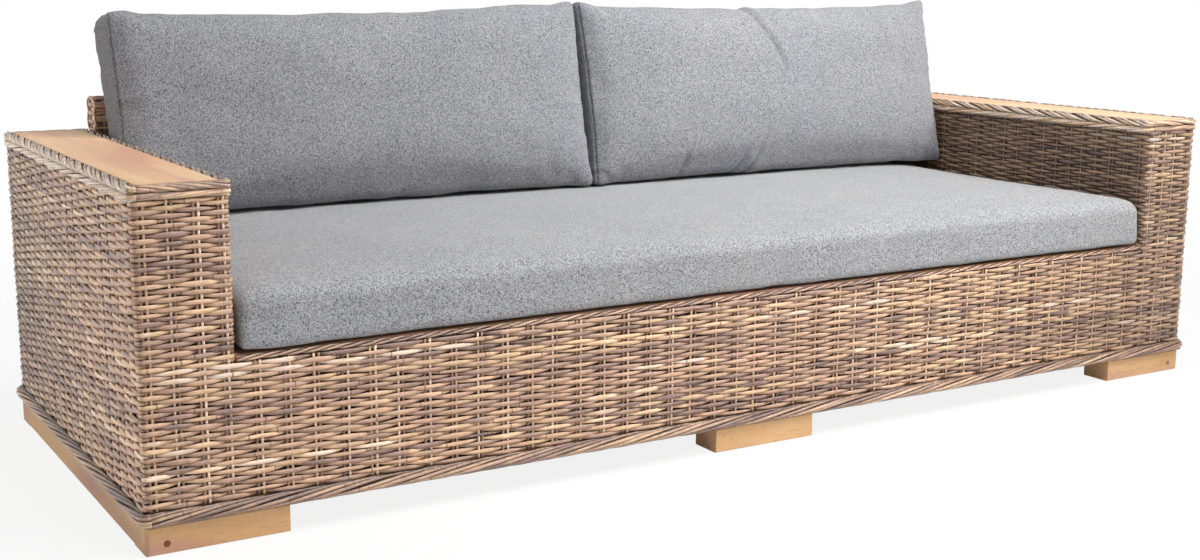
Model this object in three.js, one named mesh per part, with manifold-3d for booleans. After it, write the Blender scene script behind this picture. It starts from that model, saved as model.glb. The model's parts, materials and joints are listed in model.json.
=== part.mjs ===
// A rattan garden sofa: a timber frame inside woven skins, braided borders, teak
// arm boards and feet, one seat cushion and two back cushions.
// Millimetres. X runs along the sofa, Y towards its back, Z up from the floor.
import * as THREE from "three";
import { mergeVertices } from "three/addons/utils/BufferGeometryUtils.js";
import Module from "manifold-3d";

const wasm = await Module();
wasm.setup();

// Body, measured over the woven faces
const sofaLength = 2400;
const sofaDepth = 898;
const armHeight = 582;
const armWidth = 155;
const backrestHeight = 648;
const seatHeight = 303;

// Clearances
const fitGap = 0.25; // between pieces that touch
const cutOverrun = 5; // how far a cutter runs past the face that it cuts

// Woven skins and borders
const weaveThick = 9;
const weaveCorner = 8;
const ribApart = 95; // roughly: each wall spaces its ribs evenly
const ribHeight = 4;
const ribTopWidth = 14;
const ribFootWidth = 26;
const ribFromCorner = 18; // middle of a wall's last rib, from the corner
const baseBorderHeight = 24;
const baseBorderOut = 12; // stands proud of the skins
const baseBorderCorner = 20;
const armBraidHeight = 24;
const armBraidOut = 4;
const armBraidCorner = 12;
const borderEdge = 4; // rounding of the borders' outer edges
const seatEdgeHeight = 10;
const seatEdgeThick = 12;
const seatEdgeRound = 3.5;

// Teak arm boards and feet
const armBoardInset = 12.5; // from the skins' outer faces
const armBoardEdge = 2;
const footHeight = 46;
const footDepth = 68;
const endFootLength = 235;
const middleFootLength = 232;
const footEdge = 3;
const footCorner = 8; // the upright edges at the sofa's corners
const plugSize = 11;
const plugDepth = 10;
const plugFromEnd = 33;
const plugAboveFloor = 17;

// Timber frame
const timber = 40;
const armRailHeight = 22;
const slatCount = 5;
const slatWidth = 110;
const slatThick = 20;
const backrestCorner = 22;

// Seat cushion
const seatSideGap = 8;
const seatBackGap = 4;
const seatCushionThick = 105; // at its edges
const seatCushionCrown = 20;
const seatCushionEdge = 25;
const seatCushionDrawIn = 5;

// Back cushions
const backCushionLean = 13.5; // degrees from upright
const backCushionTall = 412;
const backCushionThick = 120; // of the side panel
const backCushionCrown = 44; // of the front
const backCushionEdge = 30;
const backCushionDrawIn = 12;
const backCushionFootOut = 206.5; // from the backrest to its lower front edge
const backCushionPressed = 22; // how much of its tilted lower side is pressed flat
const backCushionEndGap = 10;
const backCushionMiddleGap = 3;

// Steps along each cushion's length, thickness and height
const seatCushionSteps = [26, 4, 12];
const backCushionSteps = [20, 4, 10];

// Places that follow from the sizes above
const halfLength = sofaLength / 2;
const halfDepth = sofaDepth / 2;
const armInnerX = halfLength - armWidth;
const frameX = halfLength - weaveThick - fitGap; // outer faces of the timber
const frameY = halfDepth - weaveThick - fitGap;
const frameInnerY = frameY - timber;
const innerPostX = armInnerX + weaveThick + fitGap;
const skinCorner = Math.min(weaveCorner, weaveThick - fitGap);
const borderBottom = footHeight + fitGap;
const baseRailTop = borderBottom + timber;
const skinBottom = borderBottom + baseBorderHeight + fitGap;
const armBraidBottom = armHeight - armBraidHeight;
const skinTop = armBraidBottom - fitGap;
const seatRailTop = seatHeight - slatThick - fitGap;
const seatRailEnd = innerPostX - fitGap;
const frontSkinTop = seatHeight - seatEdgeHeight - fitGap;
const backrestThick = 2 * (weaveThick + fitGap) + timber;
const backrestFrontY = halfDepth - backrestThick;
const backrestHalf = armInnerX - armBraidOut - fitGap;
const seatCushionBottom = seatHeight + fitGap;
const seatCushionTop = seatCushionBottom + seatCushionThick + seatCushionCrown;
const cushionRest = seatCushionTop + fitGap;

const sides = [
  { name: "left", sign: -1 },
  { name: "right", sign: 1 },
];
const ends = [
  { name: "front", sign: -1 },
  { name: "rear", sign: 1 },
];

const sofa = new THREE.Group();

function finish(color, roughness) {
  return new THREE.MeshStandardMaterial({ color, roughness, metalness: 0 });
}

const rattan = finish(0xb49873, 0.75);
const braidedRattan = finish(0xa68c6e, 0.7);
const teak = finish(0xd9a970, 0.6);
const frameTimber = finish(0x9a7550, 0.8);
const plugFiller = finish(0x6b3f25, 0.8);
const seatFabric = finish(0x9a9da2, 0.95);
const backFabric = finish(0x86888e, 0.95);

function add(name, geometry, material) {
  const mesh = new THREE.Mesh(geometry, material);
  mesh.name = name;
  sofa.add(mesh);
}

// A three.js geometry as a solid that can be cut and joined
function solidOf(geometry) {
  const bare = geometry.clone();
  bare.deleteAttribute("normal");
  bare.deleteAttribute("uv");
  const merged = mergeVertices(bare);
  const mesh = new wasm.Mesh({
    numProp: 3,
    vertProperties: new Float32Array(merged.attributes.position.array),
    triVerts: new Uint32Array(merged.index.array),
  });
  return new wasm.Manifold(mesh);
}

function geometryOf(solid) {
  const mesh = solid.getMesh();
  const geometry = new THREE.BufferGeometry();
  geometry.setAttribute("position", new THREE.BufferAttribute(mesh.vertProperties, 3));
  geometry.setIndex(new THREE.BufferAttribute(mesh.triVerts, 1));
  return geometry.toNonIndexed();
}

function ordered(a, b) {
  return a < b ? [a, b] : [b, a];
}

// A box between two opposite corners, in any order
function block(cornerA, cornerB) {
  const size = cornerA.map((value, axis) => Math.abs(cornerB[axis] - value));
  const middle = cornerA.map((value, axis) => (cornerB[axis] + value) / 2);
  const geometry = new THREE.BoxGeometry(...size);
  geometry.translate(...middle);
  return geometry;
}

// A rectangle between two opposite corners, in any order, whose own corners have
// radii in the order lower left, lower right, upper right, upper left
function roundedOutline(cornerA, cornerB, radii) {
  const [x0, x1] = ordered(cornerA[0], cornerB[0]);
  const [y0, y1] = ordered(cornerA[1], cornerB[1]);
  const [lowLeft, lowRight, highRight, highLeft] = radii;
  const outline = new THREE.Shape();
  outline.moveTo(x0 + lowLeft, y0);
  outline.lineTo(x1 - lowRight, y0);
  if (lowRight > 0) outline.absarc(x1 - lowRight, y0 + lowRight, lowRight, -Math.PI / 2, 0);
  outline.lineTo(x1, y1 - highRight);
  if (highRight > 0) outline.absarc(x1 - highRight, y1 - highRight, highRight, 0, Math.PI / 2);
  outline.lineTo(x0 + highLeft, y1);
  if (highLeft > 0) outline.absarc(x0 + highLeft, y1 - highLeft, highLeft, Math.PI / 2, Math.PI);
  outline.lineTo(x0, y0 + lowLeft);
  if (lowLeft > 0) outline.absarc(x0 + lowLeft, y0 + lowLeft, lowLeft, Math.PI, 1.5 * Math.PI);
  return outline;
}

function extruded(outline, depth, curveSegments) {
  return new THREE.ExtrudeGeometry(outline, { depth, bevelEnabled: false, curveSegments });
}

// An outline in plan, raised from one height to another
function upright(outline, bottom, top) {
  const geometry = extruded(outline, top - bottom, 4);
  geometry.translate(0, 0, bottom);
  return geometry;
}

// An outline in the YZ plane, drawn along X
function alongX(outline, fromX, toX) {
  const [x0, x1] = ordered(fromX, toX);
  const geometry = extruded(outline, x1 - x0, 4);
  geometry.rotateX(Math.PI / 2);
  geometry.rotateZ(Math.PI / 2);
  geometry.translate(x0, 0, 0);
  return geometry;
}

// An outline in the XZ plane, drawn along Y
function alongY(outline, fromY, toY) {
  const [y0, y1] = ordered(fromY, toY);
  const geometry = extruded(outline, y1 - y0, 4);
  geometry.rotateX(Math.PI / 2);
  geometry.translate(0, y1, 0);
  return geometry;
}

// A flat plate with rounded corners in plan, built up from levels that each give
// a height and how far the plate's edge is drawn in there
function levelledPlate(centreX, halfX, halfY, corner, levels) {
  const cornerSteps = 4;
  const positions = [];
  for (const level of levels) {
    const radius = corner - level.inset;
    for (let quarter = 0; quarter < 4; quarter += 1) {
      const signX = quarter === 0 || quarter === 3 ? 1 : -1;
      const signY = quarter < 2 ? 1 : -1;
      for (let step = 0; step <= cornerSteps; step += 1) {
        const angle = ((quarter + step / cornerSteps) * Math.PI) / 2;
        positions.push(centreX + signX * (halfX - corner) + radius * Math.cos(angle));
        positions.push(signY * (halfY - corner) + radius * Math.sin(angle));
        positions.push(level.z);
      }
    }
  }
  const ring = 4 * (cornerSteps + 1);
  const topStart = (levels.length - 1) * ring;
  const faces = [];
  for (let level = 0; level < levels.length - 1; level += 1) {
    for (let point = 0; point < ring; point += 1) {
      const a = level * ring + point;
      const b = level * ring + ((point + 1) % ring);
      faces.push(a, b, b + ring, a, b + ring, a + ring);
    }
  }
  for (let point = 1; point < ring - 1; point += 1) {
    faces.push(0, point + 1, point);
    faces.push(topStart, topStart + point, topStart + point + 1);
  }
  const geometry = new THREE.BufferGeometry();
  geometry.setAttribute("position", new THREE.Float32BufferAttribute(positions, 3));
  geometry.setIndex(faces);
  return geometry.toNonIndexed();
}

// A closed border: a plate with rounded outer edges and a square opening
function borderLoop(centreX, halfX, halfY, corner, thick, bottom, top) {
  const chamfer = borderEdge * (1 - Math.SQRT1_2);
  const levels = [
    { inset: borderEdge, z: bottom },
    { inset: chamfer, z: bottom + chamfer },
    { inset: 0, z: bottom + borderEdge },
    { inset: 0, z: top - borderEdge },
    { inset: chamfer, z: top - chamfer },
    { inset: borderEdge, z: top },
  ];
  const plate = solidOf(levelledPlate(centreX, halfX, halfY, corner, levels));
  const opening = block(
    [centreX - halfX + thick, -halfY + thick, bottom - cutOverrun],
    [centreX + halfX - thick, halfY - thick, top + cutOverrun],
  );
  return geometryOf(plate.subtract(solidOf(opening)));
}

// A round prism along Y, for a screw hole or its plug
function plugPrism(x, radius, fromY, toY) {
  const low = [x - radius, plugAboveFloor - radius];
  const high = [x + radius, plugAboveFloor + radius];
  return alongY(roundedOutline(low, high, [radius, radius, radius, radius]), fromY, toY);
}

// A front foot with the hole of its screw, and the plug that closes the hole
function addPluggedFoot(name, board, side) {
  const x = side.sign * (halfLength - plugFromEnd);
  const face = -halfDepth;
  const radius = plugSize / 2;
  const hole = plugPrism(x, radius + fitGap, face - cutOverrun, face + plugDepth + fitGap);
  add(name, geometryOf(board.subtract(solidOf(hole))), teak);
  add(side.name + "_foot_plug", plugPrism(x, radius, face, face + plugDepth), plugFiller);
}

// Boards under the front and back, and a runner under each arm between them
function addFeet() {
  const edges = [footEdge, footEdge, footEdge, footEdge];
  const corners = [footCorner, footCorner, footCorner, footCorner];
  const plan = roundedOutline([-halfLength, -halfDepth], [halfLength, halfDepth], corners);
  const rounded = solidOf(upright(plan, -cutOverrun, footHeight + cutOverrun));
  for (const end of ends) {
    const outerY = end.sign * halfDepth;
    const innerY = end.sign * (halfDepth - footDepth);
    const section = roundedOutline([outerY, 0], [innerY, footHeight], edges);
    for (const side of sides) {
      const outerX = side.sign * halfLength;
      const innerX = side.sign * (halfLength - endFootLength);
      const name = side.name + "_" + end.name + "_foot";
      const board = solidOf(alongX(section, outerX, innerX)).intersect(rounded);
      if (end.name === "front") addPluggedFoot(name, board, side);
      else add(name, geometryOf(board), teak);
    }
    const middle = alongX(section, -middleFootLength / 2, middleFootLength / 2);
    add("middle_" + end.name + "_foot", middle, teak);
  }
  const runnerY = halfDepth - footDepth - fitGap;
  for (const side of sides) {
    const outer = [side.sign * halfLength, 0];
    const inner = [side.sign * (halfLength - footDepth), footHeight];
    const runner = alongY(roundedOutline(outer, inner, edges), -runnerY, runnerY);
    add(side.name + "_foot_runner", runner, teak);
  }
}

// Rails round the bottom edge, and a beam across the middle
function addBaseFrame() {
  const reachY = frameInnerY - fitGap;
  for (const end of ends) {
    const outer = [-frameX, end.sign * frameY, borderBottom];
    const inner = [frameX, end.sign * frameInnerY, baseRailTop];
    add("base_" + end.name + "_rail", block(outer, inner), frameTimber);
  }
  for (const side of sides) {
    const outer = [side.sign * frameX, -reachY, borderBottom];
    const inner = [side.sign * (frameX - timber), reachY, baseRailTop];
    add("base_" + side.name + "_rail", block(outer, inner), frameTimber);
  }
  const beam = block(
    [-timber / 2, -reachY, borderBottom],
    [timber / 2, reachY, baseRailTop],
  );
  add("base_middle_beam", beam, frameTimber);
}

// Four posts and two top rails in each arm
function addArmFrames() {
  const railBottom = skinTop - armRailHeight;
  const postBottom = baseRailTop + fitGap;
  const lines = [
    { name: "outer", x: frameX - timber },
    { name: "inner", x: innerPostX },
  ];
  for (const side of sides) {
    for (const line of lines) {
      const nearX = side.sign * line.x;
      const farX = side.sign * (line.x + timber);
      for (const end of ends) {
        const foot = [nearX, end.sign * frameY, postBottom];
        const head = [farX, end.sign * frameInnerY, railBottom - fitGap];
        const name = side.name + "_arm_post_" + end.name + "_" + line.name;
        add(name, block(foot, head), frameTimber);
      }
      const rail = block([nearX, -frameY, railBottom], [farX, frameY, skinTop]);
      add(side.name + "_arm_rail_" + line.name, rail, frameTimber);
    }
  }
}

// Seat rails between the inner arm posts, joists between the rails, slats on top
function addSeatDeck() {
  const railBottom = seatRailTop - timber;
  const reachY = frameInnerY - fitGap;
  for (const end of ends) {
    const outer = [-seatRailEnd, end.sign * frameY, railBottom];
    const inner = [seatRailEnd, end.sign * frameInnerY, seatRailTop];
    add("seat_" + end.name + "_rail", block(outer, inner), frameTimber);
  }
  const joists = [
    { name: "left", x: -seatRailEnd },
    { name: "middle", x: -timber / 2 },
    { name: "right", x: seatRailEnd - timber },
  ];
  for (const joist of joists) {
    const low = [joist.x, -reachY, railBottom];
    const high = [joist.x + timber, reachY, seatRailTop];
    add("seat_joist_" + joist.name, block(low, high), frameTimber);
  }
  const slatHalf = armInnerX - fitGap;
  const firstY = -halfDepth + seatEdgeThick + fitGap;
  const lastY = backrestFrontY - fitGap - slatWidth;
  for (let index = 0; index < slatCount; index += 1) {
    const y = firstY + ((lastY - firstY) * index) / (slatCount - 1);
    const low = [-slatHalf, y, seatRailTop + fitGap];
    const high = [slatHalf, y + slatWidth, seatHeight];
    add("seat_slat_" + (index + 1), block(low, high), frameTimber);
  }
}

// Three posts on the rear seat rail, and the rail that they carry
function addBackrestFrame() {
  const top = backrestHeight - weaveThick - fitGap;
  const half = backrestHalf - weaveThick - fitGap;
  const rail = block([-half, frameInnerY, top - timber], [half, frameY, top]);
  add("backrest_top_rail", rail, frameTimber);
  const posts = [
    { name: "left", x: -half },
    { name: "middle", x: -timber / 2 },
    { name: "right", x: half - timber },
  ];
  for (const post of posts) {
    const foot = [post.x, frameInnerY, seatRailTop + fitGap];
    const head = [post.x + timber, frameY, top - timber - fitGap];
    add("backrest_post_" + post.name, block(foot, head), frameTimber);
  }
}

// Even places from one rib to another, about one spacing apart
function ribPlaces(from, to) {
  const count = Math.round((to - from) / ribApart);
  return Array.from({ length: count + 1 }, (_, index) => from + ((to - from) * index) / count);
}

// A wall with a hollow cut between each two ribs. The place function turns a distance
// along the wall and a depth below its outer face into a spot in plan.
function ribbed(wall, ribs, place) {
  const top = ribTopWidth / 2;
  const foot = ribFootWidth / 2;
  let solid = solidOf(wall);
  for (let index = 1; index < ribs.length; index += 1) {
    const before = ribs[index - 1];
    const after = ribs[index];
    const spots = [
      place(before + top, -cutOverrun),
      place(after - top, -cutOverrun),
      place(after - top, 0),
      place(after - foot, ribHeight),
      place(before + foot, ribHeight),
      place(before + top, 0),
    ];
    const outline = new THREE.Shape(spots.map((spot) => new THREE.Vector2(...spot)));
    solid = solid.subtract(solidOf(upright(outline, 0, backrestHeight)));
  }
  return geometryOf(solid);
}

// The weave over the front, the back, and the outer and inner sides of the arms
function addWovenSkins() {
  const outerRib = halfLength - ribFromCorner;
  const innerRib = armInnerX + ribFromCorner;
  const lastRib = halfDepth - ribFromCorner;
  const longRibs = [-outerRib, ...ribPlaces(-innerRib, innerRib), outerRib];
  const frontInnerY = -halfDepth + weaveThick;
  const frontCorners = [skinCorner, skinCorner, 0, 0];
  const onFront = (along, deep) => [along, -halfDepth + deep];
  const onBack = (along, deep) => [along, halfDepth - deep];
  const front = roundedOutline([-halfLength, -halfDepth], [halfLength, frontInnerY], frontCorners);
  const frontSkin = upright(front, skinBottom, frontSkinTop);
  add("front_weave", ribbed(frontSkin, longRibs, onFront), rattan);
  const backCorners = [0, 0, skinCorner, skinCorner];
  const back = roundedOutline([-halfLength, -frontInnerY], [halfLength, halfDepth], backCorners);
  add("back_weave", ribbed(upright(back, skinBottom, skinTop), longRibs, onBack), rattan);
  for (const side of sides) {
    const outerX = side.sign * halfLength;
    const innerX = side.sign * armInnerX;
    const onSide = (along, deep) => [side.sign * (halfLength - deep), along];
    const armFront = roundedOutline([outerX, -halfDepth], [innerX, frontInnerY], frontCorners);
    const armFrontSkin = upright(armFront, frontSkinTop + fitGap, skinTop);
    const armRibs = ordered(side.sign * innerRib, side.sign * outerRib);
    add(side.name + "_arm_front_weave", ribbed(armFrontSkin, armRibs, onFront), rattan);
    const sideSkin = block(
      [outerX, -frameY, skinBottom],
      [side.sign * (halfLength - weaveThick), frameY, skinTop],
    );
    const sideRibs = ribPlaces(-lastRib, lastRib);
    add(side.name + "_side_weave", ribbed(sideSkin, sideRibs, onSide), rattan);
    const innerSkin = block(
      [innerX, -frameY, seatRailTop + fitGap],
      [side.sign * (armInnerX + weaveThick), frameY, skinTop],
    );
    add(side.name + "_arm_inner_weave", innerSkin, rattan);
  }
}

// The woven cap over the backrest: a front wall down to the seat deck, a rounded
// top, a short rear wall above the back skin, and an end wall over each arm
function addBackrestWeave() {
  const front = backrestFrontY;
  const back = halfDepth;
  const top = backrestHeight;
  const round = backrestCorner;
  const cap = new THREE.Shape();
  cap.moveTo(front, seatHeight + fitGap);
  cap.lineTo(front + weaveThick, seatHeight + fitGap);
  cap.lineTo(front + weaveThick, top - weaveThick);
  cap.lineTo(back - weaveThick, top - weaveThick);
  cap.lineTo(back - weaveThick, armBraidBottom);
  cap.lineTo(back, armBraidBottom);
  cap.lineTo(back, top - round);
  cap.absarc(back - round, top - round, round, 0, Math.PI / 2);
  cap.lineTo(front + round, top);
  cap.absarc(front + round, top - round, round, Math.PI / 2, Math.PI);
  let shell = solidOf(alongX(cap, -backrestHalf, backrestHalf));
  const end = roundedOutline([front, armBraidBottom], [back, top], [0, 0, round, round]);
  for (const side of sides) {
    const outerX = side.sign * backrestHalf;
    const innerX = side.sign * (backrestHalf - weaveThick);
    shell = shell.add(solidOf(alongX(end, outerX, innerX)));
  }
  add("backrest_weave", geometryOf(shell), rattan);
}

function addBorders() {
  const base = borderLoop(
    0,
    halfLength + baseBorderOut,
    halfDepth + baseBorderOut,
    baseBorderCorner,
    baseBorderOut + weaveThick,
    borderBottom,
    borderBottom + baseBorderHeight,
  );
  add("base_border", base, braidedRattan);
  for (const side of sides) {
    const braid = borderLoop(
      side.sign * (halfLength - armWidth / 2),
      armWidth / 2 + armBraidOut,
      halfDepth + armBraidOut,
      armBraidCorner,
      armBraidOut + armBoardInset - fitGap,
      armBraidBottom,
      armHeight,
    );
    add(side.name + "_arm_braid", braid, braidedRattan);
  }
  const round = seatEdgeRound;
  const low = [-halfDepth, seatHeight - seatEdgeHeight];
  const high = [seatEdgeThick - halfDepth, seatHeight];
  const section = roundedOutline(low, high, [round, round, round, round]);
  const strand = alongX(section, fitGap - armInnerX, armInnerX - fitGap);
  add("seat_edge_strand", strand, braidedRattan);
}

// Boards that lie flush in the braids, with softened top edges
function addArmBoards() {
  const chamfer = armBoardEdge * (1 - Math.SQRT1_2);
  const levels = [
    { inset: 0, z: armBraidBottom },
    { inset: 0, z: armHeight - armBoardEdge },
    { inset: chamfer, z: armHeight - chamfer },
    { inset: armBoardEdge, z: armHeight },
  ];
  for (const side of sides) {
    const centreX = side.sign * (halfLength - armWidth / 2);
    const halfX = armWidth / 2 - armBoardInset;
    const halfY = halfDepth - armBoardInset;
    const corner = 2 * armBoardEdge;
    add(side.name + "_arm_board", levelledPlate(centreX, halfX, halfY, corner, levels), teak);
  }
}

// Steps from -1 to 1 that lie closer together near both ends
function crowdedSteps(count) {
  const crowdingShare = 0.6;
  const steps = [];
  for (let index = 0; index <= count; index += 1) {
    const even = (2 * index) / count - 1;
    const crowded = Math.sin((even * Math.PI) / 2);
    steps.push(crowded * crowdingShare + even * (1 - crowdingShare));
  }
  return steps;
}

// A cushion centred on the origin, with its thickness along Y: a box with rounded
// edges, crowned front and rear faces, and sides drawn in between its corners
function cushion(size, steps, edge, crowns, drawIn) {
  const half = size.map((length) => length / 2);
  const spread = steps.map(crowdedSteps);
  const geometry = new THREE.BoxGeometry(1, 1, 1, ...steps);
  const position = geometry.attributes.position;
  for (let index = 0; index < position.count; index += 1) {
    const share = steps.map((count, axis) => {
      const step = Math.round((position.getComponent(index, axis) + 0.5) * count);
      return spread[axis][step];
    });
    const point = new THREE.Vector3(...share.map((value, axis) => value * half[axis]));
    const core = point.clone();
    const reach = new THREE.Vector3(...half.map((length) => length - edge));
    core.clamp(reach.clone().negate(), reach);
    const rounding = point.sub(core);
    if (rounding.length() > 0) rounding.setLength(edge);
    const placed = core.add(rounding);
    const [acrossX, acrossY, acrossZ] = share;
    const crown = acrossY < 0 ? crowns[0] : crowns[1];
    placed.y += crown * acrossY * (1 - acrossX ** 4) * (1 - acrossZ ** 4);
    placed.x -= drawIn * acrossX ** 3 * (1 - acrossZ ** 2);
    placed.z -= drawIn * acrossZ ** 3 * (1 - acrossX ** 2);
    position.setXYZ(index, placed.x, placed.y, placed.z);
  }
  return geometry;
}

// The seat cushion lies flat, so its thickness points up and only its top is crowned
function addSeatCushion() {
  const long = 2 * (armInnerX - seatSideGap);
  const backY = backrestFrontY - seatBackGap;
  const size = [long, seatCushionThick, backY + halfDepth];
  const crowns = [0, seatCushionCrown];
  const shape = cushion(size, seatCushionSteps, seatCushionEdge, crowns, seatCushionDrawIn);
  shape.rotateX(Math.PI / 2);
  shape.translate(0, (backY - halfDepth) / 2, seatCushionBottom + seatCushionThick / 2);
  add("seat_cushion", shape, seatFabric);
}

// The back cushions lean on the backrest's top edge and stand flat on the seat cushion.
// The rear crown fills the space that is left up to that edge.
function addBackCushions() {
  const lean = THREE.MathUtils.degToRad(backCushionLean);
  const long = armInnerX - backCushionEndGap - backCushionMiddleGap;
  const halfTall = backCushionTall / 2;
  const halfThick = backCushionThick / 2;
  const frontEdgeZ = cushionRest + backCushionThick * Math.sin(lean) - backCushionPressed;
  const frontEdgeY = backrestFrontY - backCushionFootOut;
  const centreY = frontEdgeY + halfTall * Math.sin(lean) + halfThick * Math.cos(lean);
  const centreZ = frontEdgeZ + halfTall * Math.cos(lean) - halfThick * Math.sin(lean);
  const cornerY = backrestFrontY + backrestCorner - centreY;
  const cornerZ = backrestHeight - backrestCorner - centreZ;
  const toCorner = cornerY * Math.cos(lean) - cornerZ * Math.sin(lean) - backrestCorner;
  const crowns = [backCushionCrown, toCorner - halfThick - fitGap];
  const size = [long, backCushionThick, backCushionTall];
  const below = solidOf(block([-sofaLength, -sofaDepth, 0], [sofaLength, sofaDepth, cushionRest]));
  for (const side of sides) {
    const shape = cushion(size, backCushionSteps, backCushionEdge, crowns, backCushionDrawIn);
    shape.rotateX(-lean);
    shape.translate(side.sign * (backCushionMiddleGap + long / 2), centreY, centreZ);
    add("back_cushion_" + side.name, geometryOf(solidOf(shape).subtract(below)), backFabric);
  }
}

addFeet();
addBaseFrame();
addArmFrames();
addSeatDeck();
addBackrestFrame();
addWovenSkins();
addBackrestWeave();
addBorders();
addArmBoards();
addSeatCushion();
addBackCushions();

export default sofa;
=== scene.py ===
import json
import math
import bpy
import numpy as np
from mathutils import Matrix, Vector


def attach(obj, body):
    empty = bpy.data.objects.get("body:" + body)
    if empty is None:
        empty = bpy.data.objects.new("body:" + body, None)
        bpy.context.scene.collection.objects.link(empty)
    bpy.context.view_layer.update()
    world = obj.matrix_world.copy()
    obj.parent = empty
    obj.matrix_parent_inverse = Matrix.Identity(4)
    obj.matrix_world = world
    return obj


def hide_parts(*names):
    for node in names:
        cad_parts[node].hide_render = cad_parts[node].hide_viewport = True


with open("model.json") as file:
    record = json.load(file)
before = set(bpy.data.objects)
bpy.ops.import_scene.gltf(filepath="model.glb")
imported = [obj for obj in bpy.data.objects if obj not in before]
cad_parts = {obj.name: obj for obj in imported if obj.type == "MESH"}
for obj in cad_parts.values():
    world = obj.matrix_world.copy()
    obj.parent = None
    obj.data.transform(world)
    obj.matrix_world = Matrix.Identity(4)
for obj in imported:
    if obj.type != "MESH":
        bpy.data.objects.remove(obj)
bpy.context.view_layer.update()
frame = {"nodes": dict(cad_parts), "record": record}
scene = bpy.context.scene


def newObject(name, mesh, materials, body, replaced):
    piece = bpy.data.objects.new(name, mesh)
    scene.collection.objects.link(piece)
    for material in materials:
        mesh.materials.append(material)
    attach(piece, body)
    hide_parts(*replaced)
    return piece


def fillMesh(mesh, points, quads):
    mesh.vertices.add(len(points))
    mesh.vertices.foreach_set("co", points.astype(np.float32).ravel())
    mesh.loops.add(len(quads) * 4)
    mesh.loops.foreach_set("vertex_index", quads.astype(np.int32).ravel())
    mesh.polygons.add(len(quads))
    mesh.polygons.foreach_set("loop_start", np.arange(0, len(quads) * 4, 4, dtype=np.int32))
    mesh.polygons.foreach_set("use_smooth", [True] * len(quads))
    mesh.update(calc_edges=True)


def addMarks(mesh, key, values):
    mesh.attributes.new(key, "FLOAT", "POINT").data.foreach_set("value", values.astype(np.float32))


def wobble(length, seed, waves, strength):
    # a smooth random curve along a run: a few sines with seeded lengths and starts
    rng = np.random.default_rng(seed)
    total = np.zeros_like(length)
    for wave in waves:
        total += np.sin(2 * np.pi * length / (wave * rng.uniform(0.75, 1.3)) + rng.uniform(0, 6.28))
    return strength * total / len(waves)


def bell(away, reach):
    # 1 in the middle, and near 0 at twice the reach
    return np.exp(-(away / reach) ** 2)


class Nodes:
    # a thin wrapper that keeps the node trees below short
    def __init__(self, tree):
        tree.nodes.clear()
        self.tree = tree
        self.column = 0

    def add(self, kind, inputs=None, **settings):
        node = self.tree.nodes.new(kind)
        self.column += 1
        node.location = (180 * (self.column % 9), -260 * (self.column // 9))
        for key, value in settings.items():
            setattr(node, key, value)
        self.fill(node, inputs or {})
        return node

    def fill(self, node, values):
        # a socket is linked to, a constant is set on the node's own socket
        for key, value in values.items():
            if hasattr(value, "outputs"):
                value = value.outputs[0]
            if hasattr(value, "is_output"):
                self.tree.links.new(value, node.inputs[key])
            else:
                node.inputs[key].default_value = value

    def math(self, operation, a, b=0.0, clamp=False):
        return self.add("ShaderNodeMath", {0: a, 1: b}, operation=operation, use_clamp=clamp).outputs[0]

    def times(self, a, b):
        return self.math("MULTIPLY", a, b)

    def vectorMath(self, operation, inputs, result="Vector"):
        return self.add("ShaderNodeVectorMath", inputs, operation=operation).outputs[result]

    def mixColor(self, factor, a, b, blend="MIX"):
        node = self.add("ShaderNodeMix", {"Factor": factor}, data_type="RGBA", blend_type=blend)
        places = [index for index, socket in enumerate(node.inputs) if socket.type == "RGBA"]
        self.fill(node, dict(zip(places, (a, b))))
        return [s for s in node.outputs if s.type == "RGBA"][0]

    def ramp(self, factor, stops):
        node = self.add("ShaderNodeValToRGB", {"Fac": factor})
        ramp = node.color_ramp
        while len(ramp.elements) < len(stops):
            ramp.elements.new(0.5)
        for element, (place, color) in zip(ramp.elements, stops):
            element.position = place
            element.color = color
        return node.outputs[0]

    def mapRange(self, value, low, high, toLow=0.0, toHigh=1.0):
        return self.add("ShaderNodeMapRange", {"Value": value, "From Min": low, "From Max": high,
                                               "To Min": toLow, "To Max": toHigh}).outputs[0]

    def noise(self, vector, scale, detail=2.0, roughness=0.5):
        return self.add("ShaderNodeTexNoise", {"Vector": vector, "Scale": scale, "Detail": detail,
                                               "Roughness": roughness}).outputs[0]

    def stretched(self, vector, scale):
        return self.add("ShaderNodeMapping", {"Vector": vector, "Scale": scale}).outputs[0]

    def coords(self):
        return self.add("ShaderNodeTexCoord").outputs["Object"]

    def read(self, attribute):
        return self.add("ShaderNodeAttribute", attribute_name=attribute).outputs["Fac"]


def srgb(red, green, blue):
    # a colour written as 0-255, turned to the linear values that Blender takes
    def linear(value):
        value /= 255
        return value / 12.92 if value <= 0.04045 else ((value + 0.055) / 1.055) ** 2.4
    return (linear(red), linear(green), linear(blue), 1.0)


def newGroup(name, inputs, outputs):
    group = bpy.data.node_groups.new(name, "ShaderNodeTree")
    for label, value in inputs.items():
        kind = "NodeSocketVector" if value is None else "NodeSocketFloat"
        socket = group.interface.new_socket(label, in_out="INPUT", socket_type=kind)
        if value is not None:
            socket.default_value = value
    for label in outputs:
        kind = "NodeSocketColor" if label == "Color" else "NodeSocketFloat"
        group.interface.new_socket(label, in_out="OUTPUT", socket_type=kind)
    nodes = Nodes(group)
    return group, nodes, nodes.add("NodeGroupInput").outputs, nodes.add("NodeGroupOutput")


def newMaterial(name):
    material = bpy.data.materials.new(name)
    material.use_nodes = True
    nodes = Nodes(material.node_tree)
    shader = nodes.add("ShaderNodeBsdfPrincipled")
    nodes.add("ShaderNodeOutputMaterial", {"Surface": shader})
    return material, nodes, shader


def bump(nodes, height, distance, strength):
    return nodes.add("ShaderNodeBump", {"Height": height, "Distance": distance, "Strength": strength})


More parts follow.
